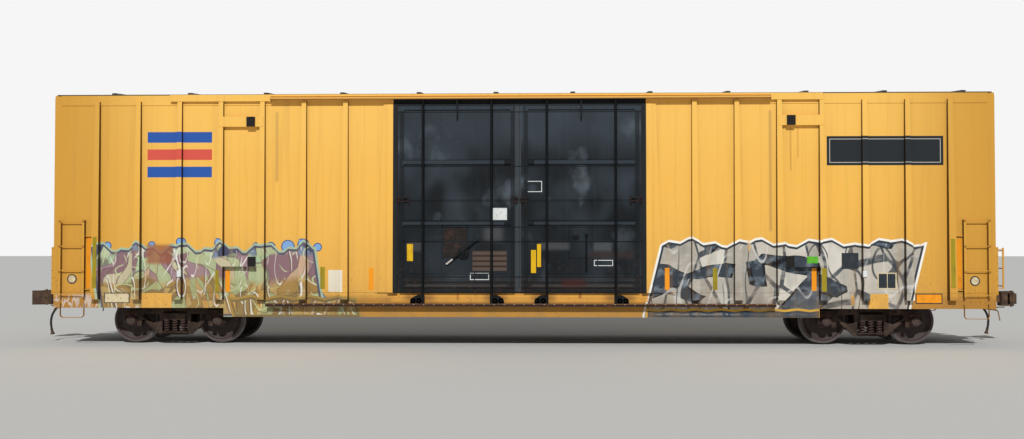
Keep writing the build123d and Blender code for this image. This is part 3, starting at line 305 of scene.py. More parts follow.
def leaf_paint(tree, flat, up):
    """Leaf-shaped pastel cells with white glints, night blue at the top and earth at the foot."""
    space = warped(tree, flat, 0.8, 1.5, 0.55, (1.0, 0.42, 1.0), 3.0)
    colour, _ = cells(tree, space, 4.4, LEAVES, "#6B5558", 0.03, 0.7)
    fine = warped(tree, flat, 1.1, 1.2, -0.7, (1.0, 0.5, 1.0), 8.0)
    for stops, scale, low, high, amount in (
        (NIGHT, 3.4, 1.68, 1.76, 1.0),
        (EARTH, 7.0, 1.24, 1.14, 0.92),
    ):
        layer, _ = cells(tree, fine, scale, stops, "#5A4A3C", 0.035, 0.6)
        bent = speckle(tree, flat, 1.1, 0.3, 0.7, 0.24, 1.0)
        height = add(tree, "Math SUBTRACT", up, bent)
        mask = add(tree, "MapRange", height, low, high, 0, amount)
        colour = laid(tree, colour, layer, mask)
    for code, turn, stretch, seed, amount in (
        ("#55464A", 0.9, (1.0, 0.35, 1.0), 5.03, 0.7),
        ("#F1EFE6", 0.9, (1.0, 0.35, 1.0), 5.0, 0.95),
        ("#EDEBDD", -0.5, (1.0, 0.35, 1.0), 17.0, 0.8),
        ("#C8D6A4", 0.2, (0.6, 0.6, 1.0), 31.0, 0.8),
    ):
        mask = strokes(tree, flat, 4.2, turn, stretch, 0.016, seed, 0.5, 0.56)
        colour = laid(tree, colour, code, mask, amount)
    return colour


def shard_paint(tree, flat):
    """Large silver shards with dark outlines, and slate wedges with black edges over them."""
    broad = warped(tree, flat, 0.7, 0.5, 0.45, (0.75, 0.42, 1.0), 11.0)
    colour, _ = cells(tree, broad, 2.1, SHARDS, "#39424B", 0.04, 0.95)
    brushed = speckle(tree, flat, (3.0, 7.0, 3.0), 0.46, 0.72, 0.55)
    colour = laid(tree, colour, "#D3CEC4", brushed)
    shade = speckle(tree, flat, (2.2, 1.2, 2.0), 0.5, 0.66, 0.45, 2.0)
    colour = laid(tree, colour, "#8A8680", shade)
    narrow = warped(tree, flat, 0.9, 0.5, -0.6, (0.55, 1.25, 1.0), 21.0)
    wedge, pick = cells(tree, narrow, 2.3, SLATE, "#12161A", 0.06, 0.95)
    wedge = laid(tree, wedge, "#8796A3", speckle(tree, flat, 5.0, 0.48, 0.7, 0.75, 3.0))
    chosen = add(tree, "Math LESS_THAN", pick, 0.24)
    colour = laid(tree, colour, wedge, chosen)
    for code, turn, seed, amount in (
        ("#E4E2DC", 0.7, 41.0, 0.6), ("#2C343C", -0.35, 57.0, 0.85)
    ):
        mask = strokes(tree, flat, 2.0, turn, (1.0, 0.4, 1.0), 0.012, seed)
        colour = laid(tree, colour, code, mask, amount)
    return colour


def body_paint():
    """Alkyd enamel on sheet steel: warm yellow, chalky, streaked, dirtier at the ends and foot."""
    material, tree, shader, place, colour = start_material(
        "weathered_yellow_enamel", "#F3BA53", 0.6, 0.2
    )
    across, up, flat, from_middle, reach_y = side_view(tree, place)
    # Designs lie only near the side planes, and on no face that looks inward
    facing = add(tree, "TexCoord", out=1)
    outward = add(tree, "VectorMath MULTIPLY", facing, ALONG_Y)
    outward = add(tree, "VectorMath DOT_PRODUCT", outward, place, out=1)
    outward = add(tree, "Math GREATER_THAN", outward, -0.7)
    on_side = add(tree, "MapRange", reach_y, 1.44, 1.45)
    on_side = add(tree, "Math MULTIPLY", on_side, outward)
    colour = laid(tree, colour, "#F7C05B", speckle(tree, place, 0.5, 0.35, 0.7, 0.6))
    # The top of the wall stays paler, the foot and the ends are duller, the side sill duller still
    for code, value, absent, full, amount in (
        ("#F9C562", up, 3.2, 4.8, 0.7),
        ("#DFA94F", up, 3.2, 1.0, 0.7),
        ("#CC9538", from_middle, 6.7, 9.4, 0.9),
        ("#A06A2A", up, 1.085, 0.9, 0.62),
    ):
        mask = add(tree, "MapRange", value, absent, full, 0, amount, **SMOOTH)
        colour = laid(tree, colour, code, mask)
    # Joints of the sheets show as faint upright lines between the posts
    pitch = add(tree, "Math SUBTRACT", from_middle, FIRST_POST_X - 0.3)
    pitch = add(tree, "Math MODULO", pitch, POST_PITCH)
    joint = band(tree, pitch, -0.001, 0.005, 0.002)
    sheet = add(tree, "MapRange", reach_y, 1.462, 1.461, 0, 0.35)
    colour = laid(tree, colour, "#9A6B2C", joint, sheet)
    # Round blots of sky blue peep out beside the leaves
    depth = -1.0
    for x, z, radius in BLOTS:
        away = add(tree, "VectorMath DISTANCE", flat, (x, z, 0.0), out=1)
        away = add(tree, "Math SUBTRACT", radius, away)
        depth = add(tree, "Math MAXIMUM", away, depth)
    for least, code in ((-0.012, "#3A5688"), (0.008, "#7FA9DA")):
        colour = laid(tree, colour, code, deeper(tree, depth, least), on_side)
    # Sprayed designs, worn through in places: halo, outline and fill, each deeper inside
    worn = speckle(tree, place, (3.0, 3.0, 2.0), 0.26, 0.34)
    leaves = leaf_paint(tree, flat, up)
    shards = shard_paint(tree, flat)
    slates = laid(tree, shards, "#33485A", 0.65)
    for box, slant, zigzag, halo, outline, fill in (
        (
            (-8.5, -4.02, 0.6, 2.09), 0.15, ((0.1, 0.42, 0.42), (0.9, 0.17, 0.5)),
            "#A9BEA2", "#58566A", leaves,
        ),
        ((-5.92, -3.4, 0.585, 0.98), 0.3, ((0.0, 0.3, 0.2),), "#A98B45", "#7E6B45", leaves),
        (
            (2.66, 7.82, 0.6, 2.16), -0.25, ((0.6, 0.66, 0.2), (0.25, 0.23, 0.36)),
            "#F6F4EC", "#2F3943", shards,
        ),
        ((2.55, 5.93, 0.585, 0.725), 0.0, ((0.0, 0.25, 0.12),), "#D9A93F", "#2A3C4C", slates),
    ):
        depth = depth_within(tree, across, up, box, slant, zigzag)
        for least, over, amount in ((-0.045, halo, 1.0), (0.0, outline, 1.0), (0.045, fill, 0.95)):
            mask = deeper(tree, depth, least, amount)
            colour = laid(tree, colour, over, mask, on_side, worn)
    # Touched-up patches, then soot and rust running down, the seam over the sill, and the bright
    # strip under the doors, which has lines and is dirty by the feet of the lock rods
    colour = patches(tree, colour, across, up, (
        ("#E9B152", 0.004, 1.0, (-7.601, -6.99, 0.759, 1.059), (6.9, 7.289, 0.761, 1.056)),
        ("#E7E2D0", 0.004, 0.9, (-3.827, -3.524, 1.084, 1.523)),
        ("#9A5C42", 0.05, 0.85, (-7.5, -6.99, 1.64, 2.03)),
        ("#6E564A", 0.03, 0.35, (-4.9, -4.85, 3.3, 4.7)),
        ("#6E564A", 0.03, 0.4, (4.96, 5.01, 2.3, 4.7)),
        ("#8A4E22", 0.02, 0.45, (5.375, 5.4, 3.5, 4.36), (5.52, 5.54, 3.75, 4.36)),
        ("#3A2A18", 0.002, 0.75, (-9.4, 9.4, 1.071, 1.077)),
        ("#EDAC49", 0.01, 0.8, (-2.56, 2.56, 0.89, 1.07)),
        ("#5A3018", 0.004, 0.65, (-2.56, 2.56, 1.024, 1.034)),
        ("#5A3018", 0.004, 0.45, (-2.56, 2.56, 0.962, 0.97)),
        (
            "#5A3326", 0.1, 0.6, (-2.3, -1.7, 0.9, 1.04), (-0.7, -0.25, 0.9, 1.04),
            (0.25, 0.7, 0.9, 1.04), (1.7, 2.3, 0.9, 1.04),
        ),
        ("#8A4A2A", 0.02, 0.6, (-1.25, -1.21, 0.92, 1.06)),
        ("#7A2A22", 0.02, 0.6, (1.18, 1.24, 0.96, 1.06)),
    ))
    # Loose white strokes at the left foot
    marks = [
        strokes(tree, flat, 9.0, turn, (1.0, 0.35, 1.0), 0.05, seed, 0.4, 0.46)
        for turn, seed in ((1.1, 71.0), (-0.7, 83.0))
    ]
    scrawl = add(tree, "Math MAXIMUM", marks[0], marks[1])
    scrawl_at = area(tree, across, up, (-9.38, -8.48, 0.765, 1.03), 0.03)
    colour = laid(tree, colour, "#D9CFC6", scrawl, scrawl_at, 0.75)
    streak = speckle(tree, place, (9.0, 9.0, 0.35), 0.54, 0.8, 0.3)
    colour = laid(tree, colour, "#B98A45", streak)
    # A blank dark panel with a thin frame, and three plain bars
    colour = patches(tree, colour, across, up, (
        ("#23282B", 0.004, 1.0, (6.099, 8.388, 3.601, 4.182)),
        ("#B9B7AE", 0.004, 1.0, (6.15, 8.337, 3.652, 4.131)),
        ("#23282B", 0.004, 1.0, (6.164, 8.323, 3.666, 4.117)),
        ("#2B58A8", 0.004, 1.0, (-7.5, -6.19, 4.085, 4.3)),
        ("#D8584A", 0.004, 1.0, (-7.5, -6.19, 3.735, 3.95)),
        ("#2B58A8", 0.004, 1.0, (-7.5, -6.19, 3.385, 3.6)),
    ), on_side)
    foot = add(tree, "MapRange", up, 1.5, 0.6, **SMOOTH)
    dust = speckle(tree, place, (4.0, 4.0, 2.0), 0.35, 0.75, 0.45)
    colour = laid(tree, colour, "#8D7550", dust, foot)
    # Rust specks are about 15 mm across, thicker towards the foot of the wall
    chips = speckle(tree, place, 32.0, 0.66, 0.7, 0.9)
    few = add(tree, "MapRange", up, 2.4, 0.7, 0.1, **SMOOTH)
    colour = laid(tree, colour, "#6A3F22", chips, few)
    # Painted shade, with some dirt, darkens the flanks of the posts
    along = add(tree, "SeparateXYZ", facing)
    flank = add(tree, "Math ABSOLUTE", along)
    flank = add(tree, "MapRange", flank, 0.5, 0.7, 0, 0.86)
    proud = add(tree, "MapRange", reach_y, 1.461, 1.463)
    colour = laid(tree, colour, "#33220F", flank, proud)
    # Rungs rust where their ends are bolted
    stiles = [band(tree, from_middle, x - 0.022, x + 0.022, 0.01) for x in LADDER_XS]
    ends = add(tree, "Math ADD", *stiles)
    rung = add(tree, "Math ADD", up, 0.07)
    rung = add(tree, "Math MODULO", rung, RUNG_PITCH)
    rung = band(tree, rung, 0.0, 0.05, 0.03)
    clear = add(tree, "MapRange", reach_y, 1.5, 1.505, 0, 0.7)
    colour = laid(tree, colour, "#6A3A20", ends, rung, clear)
    # Black covers the edges of the door posts and the chord above the doors
    black_door_surround = area(tree, from_middle, up, (-2.524, 2.524, 1.06, 4.97), 0.006)
    colour = laid(tree, colour, "#191C1F", black_door_surround, on_side)
    # Black rubber blocks stand on the door stops, whose faces are at two depths
    upper = add(tree, "Math SUBTRACT", up, 2.8)
    upper = add(tree, "Math SIGN", upper)
    face = add(tree, "MapRange", inputs={0: upper, 1: -1.0, 3: 1.587, 4: 1.545})
    rubber = add(tree, "Math GREATER_THAN", reach_y, face)
    near_block = area(tree, from_middle, up, (5.25, 5.47, 1.5, 4.7), 0.002)
    colour = laid(tree, colour, "#1C1A18", rubber, near_block)
    # Thin sheet is never quite flat: swells 0.6 m across, 3 mm high
    swell = speckle(tree, place, (1.6, 1.6, 1.1), 0.2, 0.8, 1.0, 1.0)
    end_material(tree, shader, colour, swell, 0.003)
    return material


def door_paint():
    """Black enamel gone blue-grey in clouds, near black on frames and rods, rusty at the foot."""
    material, tree, shader, place, colour = start_material(
        "weathered_black_enamel", "#1C2227", 0.5, 0.15
    )
    across, up, _, from_middle, reach_y = side_view(tree, place)
    for code, scale, low, high, amount, detail in (
        ("#39434B", (1.1, 1.1, 1.0), 0.42, 0.72, 0.85, 1.0),
        ("#0F1316", (1.6, 1.6, 1.1), 0.5, 0.68, 0.85, 1.0),
        ("#5F6A73", (1.7, 1.7, 1.3), 0.6, 0.78, 0.7, 3.0),
        ("#33383C", (12.0, 12.0, 0.8), 0.56, 0.8, 0.4, 2.0),
    ):
        colour = laid(tree, colour, code, speckle(tree, place, scale, low, high, amount, detail))
    # The top panels are bleached most, the foot is brown, and the frames stand out darker
    for code, value, absent, full, amount in (
        ("#3F4952", up, 3.5, 4.4, 0.45),
        ("#2E2926", up, 1.5, 1.2, 0.6),
        ("#101316", reach_y, 1.508, 1.516, 0.7),
    ):
        mask = add(tree, "MapRange", value, absent, full, 0, amount, **SMOOTH)
        colour = laid(tree, colour, code, mask)
    # Clouds and rubbed places, then the lit and shaded edges of the pressed panels
    brown_panel = (-0.932, -0.251, 1.508, 1.906)
    colour = patches(tree, colour, across, up, (
        ("#12171B", 0.06, 0.55, (-2.3, 2.29, 1.43, 2.38)),
        ("#4A4B4C", 0.05, 0.6, (-2.25, -1.95, 1.9, 2.09)),
        ("#5C5E60", 0.09, 0.5, (-0.7, -0.33, 2.1, 2.38)),
        ("#55585A", 0.05, 0.55, (0.42, 1.0, 1.93, 2.08)),
        ("#565A5E", 0.05, 0.6, (1.48, 1.84, 1.9, 2.08)),
        ("#3A2C2A", 0.06, 0.6, (1.38, 2.28, 1.76, 1.9)),
        ("#4B4541", 0.016, 0.7, (-2.25, -0.25, 1.2, 1.24), (0.25, 2.25, 1.2, 1.24)),
        ("#08090A", 0.008, 0.9, (-2.3, 2.3, 1.15, 1.18)),
        ("#08090A", 0.008, 0.85, (-2.3, 2.3, 1.265, 1.29)),
        ("#3F454A", 0.006, 0.8, (-0.086, 0.034, 1.1, 4.8)),
        ("#5D4E46", 0.012, 0.9, brown_panel),
        ("#4A1E16", 0.08, 0.6, (0.85, 1.3, 1.18, 1.33)),
        ("#37414A", 0.008, 0.75, (-2.48, -0.12, 4.7, 4.795), (0.12, 2.45, 4.7, 4.795)),
        (
            "#343D45", 0.008, 0.75, (-2.33, -0.3, 3.61, 3.71), (0.3, 2.3, 3.61, 3.71),
            (-2.33, -0.3, 2.4, 2.482), (0.3, 2.3, 2.4, 2.482),
        ),
        (
            "#0B0E10", 0.006, 0.9, (-2.48, 2.45, 4.67, 4.69), (-2.33, 2.3, 3.58, 3.6),
            (-2.33, 2.3, 2.366, 2.388),
        ),
        # Painted shadow lines of the straps
        (
            "#060708", 0.004, 0.9, (-2.45, 2.45, 2.912, 2.926), (-2.45, 2.45, 2.076, 2.096),
            (-2.45, 2.45, 1.376, 1.396),
        ),
    ))
    # The brown panel is banded, the foot is spotted with rust, painted shadow lies beside the rods,
    # which are nearly black
    bands = add(tree, "Math MODULO", up, 0.105)
    bands = band(tree, bands, 0.0, 0.04, 0.014)
    within = area(tree, across, up, brown_panel, 0.01)
    colour = laid(tree, colour, "#2A1814", bands, within, 0.85)
    spots = speckle(tree, place, 22.0, 0.62, 0.7, 0.8)
    low_down = add(tree, "MapRange", up, 2.3, 1.1, **SMOOTH)
    colour = laid(tree, colour, "#54372A", spots, low_down)
    # Painted shadow beside each lock rod
    near = [band(tree, from_middle, x - 0.026, x + 0.026, 0.01) for x in ROD_XS]
    beside = add(tree, "Math ADD", near[0], near[1])
    colour = laid(tree, colour, "#0B0D0F", beside)
    rods = add(tree, "MapRange", reach_y, 1.533, 1.536, 0, 0.85)
    colour = laid(tree, colour, "#0D1012", rods)
    rub = speckle(tree, place, (2.0, 2.0, 1.2), 0.3, 0.7)
    uneven = add(tree, "MapRange", inputs={0: rub, 3: 0.38, 4: 0.62})
    tree.links.new(uneven, shader.inputs["Roughness"])
    # Dents in the panels are 0.4 m across and 4 mm deep
    dents = speckle(tree, place, (3.0, 3.0, 2.2), 0.2, 0.8, 1.0, 1.0)
    end_material(tree, shader, colour, dents, 0.004)
    return material


def track_paint():
    """Yellow enamel, with painted shade at the foot of the upper track; the lower track is worn to rust,
    with a painted highlight along its top edge, painted shade below that, and bright weld marks.
    """
    material, tree, shader, place, colour = start_material(
        "worn_track_enamel", "#E6AC50", 0.6, 0.25
    )
    _, up, _, from_middle, _ = side_view(tree, place)
    # Painted shade at the foot of the upper track, rust on the lower track, a painted highlight along
    # its top edge and painted shade below that
    for code, low, high, soft, amount in (
        ("#5A3A20", 4.9, 4.945, 0.003, 0.85),
        ("#6B4630", 0.7, 0.9, 0.003, 1.0),
        ("#9A6A3A", 0.85, 0.856, 0.002, 0.9),
        ("#14100E", 0.804, 0.846, 0.004, 0.92),
    ):
        colour = laid(tree, colour, code, band(tree, up, low, high, soft), amount)
    wear = speckle(tree, place, 7.0, 0.48, 0.62, 0.8)
    lower_track = add(tree, "Math LESS_THAN", up, 3.0)
    colour = laid(tree, colour, "#4A2C1C", wear, lower_track)
    mark = add(tree, "Math MODULO", from_middle, 0.1995)
    mark = band(tree, mark, 0.09, 0.104, 0.004)
    height = band(tree, up, 0.836, 0.852, 0.003)
    colour = laid(tree, colour, "#C2B39C", mark, height)
    end_material(tree, shader, colour, speckle(tree, place, 80.0, 0.2, 0.8), 0.0008)
    return material


def wheel_steel():
    """Forged wheel: brown rust on plate and hub, rim paler, tread rubbed bright."""
    material, tree, shader, place, colour = start_material("rolled_wheel_steel", "#3A2C27", 0.6)
    x, _, z = add(tree, "SeparateXYZ", place).node.outputs
    off = x
    for centre in (TRUCK_X, HALF_WHEELBASE):
        off = add(tree, "Math ABSOLUTE", off)
        off = add(tree, "Math SUBTRACT", off, centre)
    rise = add(tree, "Math SUBTRACT", z, AXLE_Z)
    spoke = add(tree, "CombineXYZ", off, rise, 0.0)
    radius = add(tree, "VectorMath LENGTH", spoke, out=1)
    colour = laid(tree, colour, "#46393A", speckle(tree, place, 9.0, 0.4, 0.68, 0.8))
    colour = laid(tree, colour, "#54494A", band(tree, radius, 0.405, 0.446, 0.006), 0.55)
    tread = band(tree, radius, 0.449, 0.47, 0.003)
    colour = laid(tree, colour, "#9C9892", tread)
    tree.links.new(tread, shader.inputs["Metallic"])
    end_material(tree, shader, colour, speckle(tree, place, 120.0, 0.2, 0.8), 0.0008)
    return material


# Rust specks of about 10 mm, coarser than the real ones so that they show
FINE = 55.0
SMOOTH_SKIN = (60.0, 0.0)

FINISHES = {
    "body_paint": body_paint(),
    "door_paint": door_paint(),
    # Hot-dip galvanised sheet: pale grey, spangled, with rain stains, and dark at the eaves
    "roof_metal": finish(
        "galvanised_roof_sheet", "#B9BAB4", 0.45, SMOOTH_SKIN,
        ("#A4A59F", 9.0, 0.4, 0.6, 0.7),
        ("#6E665A", (2.0, 0.6, 2.0), 0.5, 0.75, 0.7),
        ("#7E5335", FINE, 0.68, 0.74, 0.6),
        ("#2F2A27", 1.0, -0.2, 0.0, 0.9, (1, 1.44, 1.46)),
        ("#2F2A27", 1.0, -0.2, 0.0, 0.9, (1, -1.44, -1.46)),
        metallic=0.6,
    ),
    "track_paint": track_paint(),
    # Underframe: oily black-brown with road dust
    "frame_paint": finish(
        "grimy_underframe_paint", "#2E2824", 0.8, (90.0, 0.0008),
        ("#4A4037", 3.0, 0.45, 0.7, 0.8), ("#1A1715", 9.0, 0.55, 0.7, 0.7),
    ),
    # Brake gear: black enamel under pale dust, rusting in specks
    "brake_paint": finish(
        "dusty_black_enamel", "#332E2A", 0.7, (90.0, 0.0006),
        ("#574A3E", 4.0, 0.45, 0.7, 0.8), ("#6A4229", FINE, 0.64, 0.72, 0.6),
    ),
    # End fittings: yellow enamel worn to brown steel by hands and boots
    "fitting_paint": finish(
        "worn_fitting_enamel", "#8A6A38", 0.6, (90.0, 0.0006),
        ("#4B3A28", 7.0, 0.42, 0.62, 0.9), ("#6B3F24", FINE, 0.6, 0.7, 0.8),
    ),
    # Cast steel, never painted: brown rust under grey dust, sand-cast skin
    "truck_steel": finish(
        "rusty_cast_steel", "#33281F", 0.85, (140.0, 0.0012),
        ("#55453D", 4.0, 0.4, 0.68, 0.8), ("#1C1613", 10.0, 0.52, 0.7, 0.8),
        ("#6A5449", FINE, 0.6, 0.72, 0.5),
    ),
    # Bearing ends: redder rust with a bloom of paler dust
    "bearing_steel": finish(
        "rusty_bearing_iron", "#4A302C", 0.75, (140.0, 0.0008),
        ("#6E4F4B", 9.0, 0.45, 0.68, 0.8), ("#33241F", 22.0, 0.56, 0.7, 0.7),
    ),
    # Spring bar: even brown rust, finer than on castings
    "spring_steel": finish(
        "rusty_spring_steel", "#453430", 0.7, (160.0, 0.0006),
        ("#65514A", 12.0, 0.45, 0.68, 0.8), ("#2B211C", 30.0, 0.56, 0.7, 0.7),
    ),
    # Coupler casting: orange-brown rust, blotched dark where grease holds
    "coupler_steel": finish(
        "rusty_coupler_casting", "#4C3B30", 0.8, (130.0, 0.0012),
        ("#6E5440", 7.0, 0.42, 0.66, 0.8), ("#2C231D", 16.0, 0.54, 0.7, 0.8),
    ),
    # Moulded hose rubber: near black, greyed by dust
    "hose_rubber": finish(
        "dusty_hose_rubber", "#252424", 0.75, (300.0, 0.0003), ("#4A4540", 20.0, 0.45, 0.7, 0.6)
    ),
    # Malleable iron of the coupling heads: brown, speckled dark
    "gladhand_iron": finish(
        "rusty_malleable_iron", "#5B4636", 0.7, (160.0, 0.0006),
        ("#3A2C22", 25.0, 0.48, 0.66, 0.8),
    ),
    # Hardwood boards laid across the car: grain runs along Y, dirt in broad stains
    "floor_board": finish(
        "worn_hardwood_boards", "#7A5E40", 0.75, (40.0, 0.0008),
        ("#5C4530", (1.2, 30.0, 1.2), 0.4, 0.65, 0.9),
        ("#3D3024", (3.0, 9.0, 3.0), 0.55, 0.72, 0.7),
    ),
    # Reflective sheeting, bright and smooth, with grime running down it
    "orange_sheeting": finish(
        "orange_reflective_sheeting", "#F59B1E", 0.35, SMOOTH_SKIN,
        ("#C97F22", (10.0, 10.0, 4.0), 0.5, 0.72, 0.6),
    ),
    # The same sheeting gone dull and greenish
    "olive_sheeting": finish(
        "faded_yellow_sheeting", "#A08E22", 0.35, SMOOTH_SKIN,
        ("#7E6E26", (10.0, 10.0, 4.0), 0.48, 0.7, 0.7),
    ),
    # Newer yellow sheeting, hardly faded
    "yellow_sheeting": finish(
        "bright_yellow_sheeting", "#E3B416", 0.35, SMOOTH_SKIN,
        ("#A58324", (10.0, 10.0, 4.0), 0.5, 0.72, 0.6),
    ),
    # Card plates: flat cream, soiled in patches
    "cream_plate": finish(
        "cream_card_plate", "#D8C9A4", 0.6, SMOOTH_SKIN, ("#A8946A", 14.0, 0.5, 0.72, 0.7)
    ),
    # Vinyl labels: flat white under a little dirt
    "white_label": finish(
        "white_vinyl_label", "#DCE0DE", 0.4, SMOOTH_SKIN, ("#A5A8A4", 14.0, 0.52, 0.72, 0.6)
    ),
    # The same vinyl in a strong green
    "green_label": finish(
        "green_vinyl_label", "#5FB32F", 0.4, SMOOTH_SKIN, ("#4B8A2C", 14.0, 0.52, 0.72, 0.6)
    ),
    # Dark plates: flat blue-grey, a little chalky
    "dark_plate": finish(
        "dark_printed_plate", "#2C3238", 0.45, SMOOTH_SKIN, ("#454B50", 12.0, 0.5, 0.72, 0.6)
    ),
    # Operating gear: black enamel worn to brown rust
    "gear_enamel": finish(
        "rusty_gear_enamel", "#1D1714", 0.65, SMOOTH_SKIN,
        ("#3B2822", 6.0, 0.46, 0.64, 0.85), ("#14110F", 14.0, 0.5, 0.64, 0.9),
    ),
    # The handle's end: pale steel, rubbed bright by hands
    "worn_grip_steel": finish(
        "rubbed_grip_steel", "#C9C6BE", 0.45, SMOOTH_SKIN, ("#77716A", 30.0, 0.52, 0.66, 0.7)
    ),
    # Hinge steel: sooty, with red-brown rust in the joints
    "hinge_steel": finish(
        "sooty_hinge_steel", "#241A18", 0.7, SMOOTH_SKIN, ("#55302A", 30.0, 0.52, 0.66, 0.8)
    ),
    # Bolt heads: brown, with a dull metal shine where a wrench has been
    "bolt_steel": finish(
        "rusty_bolt_steel", "#6B4A30", 0.6, SMOOTH_SKIN, ("#3B281D", 60.0, 0.45, 0.65, 0.9),
        metallic=0.3,
    ),
    "wheel_steel": wheel_steel(),
}
# The stops were painted with the body, and the orange plate is the reflective sheeting
FINISHES["stop_paint"] = FINISHES["body_paint"]
FINISHES["orange_plate"] = FINISHES["orange_sheeting"]

for part in frame["record"]["subparts"]:
    node = frame["nodes"][part["node"]]
    if not node.data.materials:
        node.data.materials.append(None)
    for place in node.material_slots:
        place.material = FINISHES[part["material_slot"]]

# Shapes are (corners, four-sided faces, three-sided faces), as whole arrays


def skin(rings):
    """The surface through a stack of rings, rings[i, j] being point j of ring i.

    Four-sided faces join each ring to the next, and a fan about its middle closes each end.
    """
    stations, count = rings.shape[:2]
    here = np.arange(count)
    after = (here + 1) % count
    foot = np.arange(stations - 1)[:, None] * count
    quads = np.stack([foot + here, foot + after, foot + count + after, foot + count + here], -1)
    last = (stations - 1) * count
    hub = stations * count
    fans = [
        np.stack([np.full(count, hub), after, here], -1),
        np.stack([np.full(count, hub + 1), last + here, last + after], -1),
    ]
    corners = np.concatenate([rings.reshape(-1, 3), rings[[0, -1]].mean(axis=1)])
    return corners, quads.reshape(-1, 4), np.concatenate(fans)


def lathe(profile, centre, axis, sides=16):
    """Radius against distance along the axis, turned round it: centre + axis s + r (cos, sin)."""
    axis = np.array(axis, float)
    first = np.roll(axis, 1)
    second = np.cross(axis, first)
    angle = np.arange(sides) * 2 * math.pi / sides
    spoke = np.cos(angle)[:, None] * first + np.sin(angle)[:, None] * second
    along, radius = np.array(profile, float).T
    return skin(np.array(centre) + along[:, None, None] * axis + radius[:, None, None] * spoke)


def tube(path, radius, up=ALONG_Z, sides=8):
    """A circle carried along a path, square to it, with up as the way that stays upright."""
    path = np.array(path, float)
    ahead = np.gradient(path, axis=0)
    ahead /= np.linalg.norm(ahead, axis=1)[:, None]
    side = np.cross(np.array(up, float), ahead)
    side /= np.linalg.norm(side, axis=1)[:, None]
    top = np.cross(ahead, side)
    angle = np.arange(sides) * 2 * math.pi / sides
    ring = np.cos(angle)[:, None] * side[:, None] + np.sin(angle)[:, None] * top[:, None]
    return skin(path[:, None] + radius * ring)


def rounded(points, radius, steps=6):
    """A path through points with its corners rounded: each corner is a parabola between runs."""
    points = np.array(points, float)
    before, at, after = points[:-2], points[1:-1], points[2:]
    length_in = np.linalg.norm(before - at, axis=1)
    length_out = np.linalg.norm(after - at, axis=1)
    start = at + (before - at) * (np.minimum(radius, 0.45 * length_in) / length_in)[:, None]
    end = at + (after - at) * (np.minimum(radius, 0.45 * length_out) / length_out)[:, None]
    t = np.linspace(0, 1, steps)[None, :, None]
    arcs = (1 - t) ** 2 * start[:, None] + 2 * t * (1 - t) * at[:, None] + t**2 * end[:, None]
    return np.concatenate([points[:1], arcs.reshape(-1, 3), points[-1:]])


def block(low, high, cut=0.003):
    """A box with its edges cut back: an eight-sided ring at full size, and one shrunk at each end."""
    low, high = np.array(low, float), np.array(high, float)
    half, middle = (high - low) / 2, (high + low) / 2
    cut = min(cut, half.min() * 0.45)
    signs = np.array([(1, -1), (1, 1), (-1, 1), (-1, -1)])
    rings = []
    for height, shrink in ((-half[2], cut), (cut - half[2], 0), (half[2] - cut, 0), (half[2], cut)):
        wide, deep = half[0] - shrink, half[1] - shrink
        near = signs * (wide, deep - cut)
        far = signs * (wide - cut, deep)
        # Each corner of the rectangle in turn gives the two ends of its cut
        flat = [near[0], near[1], far[1], far[2], near[2], near[3], far[3], far[0]]
        rings.append(np.column_stack([flat, np.full(8, height)]))
    return skin(np.array(rings) + middle)


def joined(shapes):
    """One shape from several, each one's faces counted on from the corners before it."""
    starts = np.cumsum([0] + [len(corners) for corners, _, _ in shapes[:-1]])
    return (
        np.concatenate([corners for corners, _, _ in shapes]),
        np.concatenate([quads + start for (_, quads, _), start in zip(shapes, starts)]),
        np.concatenate([fans + start for (_, _, fans), start in zip(shapes, starts)]),
    )


def scattered(shape, places):
    """The same shape at every place: corners (places, corners, 3) added up as one array."""
    corners, quads, fans = shape
    places = np.array(places, float)
    step = np.arange(len(places))[:, None, None] * len(corners)
    spread = (places[:, None] + corners[None]).reshape(-1, 3)
    return spread, (quads[None] + step).reshape(-1, 4), (fans[None] + step).reshape(-1, 3)


def flipped(shape, axes):
    """The shape mirrored in each of the named axes, its faces turned back if that is odd."""
    corners, quads, fans = shape
    sign = np.array([-1.0 if axis in axes else 1.0 for axis in "xyz"])
    if len(axes) % 2:
        quads, fans = quads[:, ::-1], fans[:, ::-1]
    return corners * sign, quads, fans


# Ways to copy a shape, each a string of axes that it is mirrored in
BOTH_SIDES = ("y",)
TURNED_ROUND = ("xy",)
QUARTERS = ("x", "y", "xy")


def piece(name, shapes, material, ways=(), body="carbody", smooth=35, hides=()):
    """Puts shapes and their mirrored copies into the scene as one mesh that rides on a body."""
    whole = joined(shapes)
    corners, quads, fans = joined([whole] + [flipped(whole, way) for way in ways])
    mesh = bpy.data.meshes.new(name)
    mesh.from_pydata(corners.tolist(), [], quads.tolist() + fans.tolist())
    work = bmesh.new()
    work.from_mesh(mesh)
    bmesh.ops.remove_doubles(work, verts=work.verts, dist=1e-6)
    bmesh.ops.recalc_face_normals(work, faces=work.faces)
    work.to_mesh(mesh)
    work.free()
    mesh.shade_smooth()
    mesh.set_sharp_from_angle(angle=math.radians(smooth))
    mesh.materials.append(FINISHES[material])
    made = bpy.data.objects.new(name, mesh)
    bpy.context.collection.objects.link(made)
    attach(made, body)
    if hides:
        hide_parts(*hides)
    return made


def bolts(radius, height, out, places):
    """A domed bolt head on a washer, standing out along an axis, at every place."""
    profile = [
        (-0.002, 1.5 * radius), (0.15 * height, 1.5 * radius), (0.15 * height, radius),
        (0.75 * height, radius), (height, 0.6 * radius),
    ]
    return scattered(lathe(profile, (0, 0, 0), out, 8), places)


# Air hoses, one at each end, from the angle cock down to the coupling head

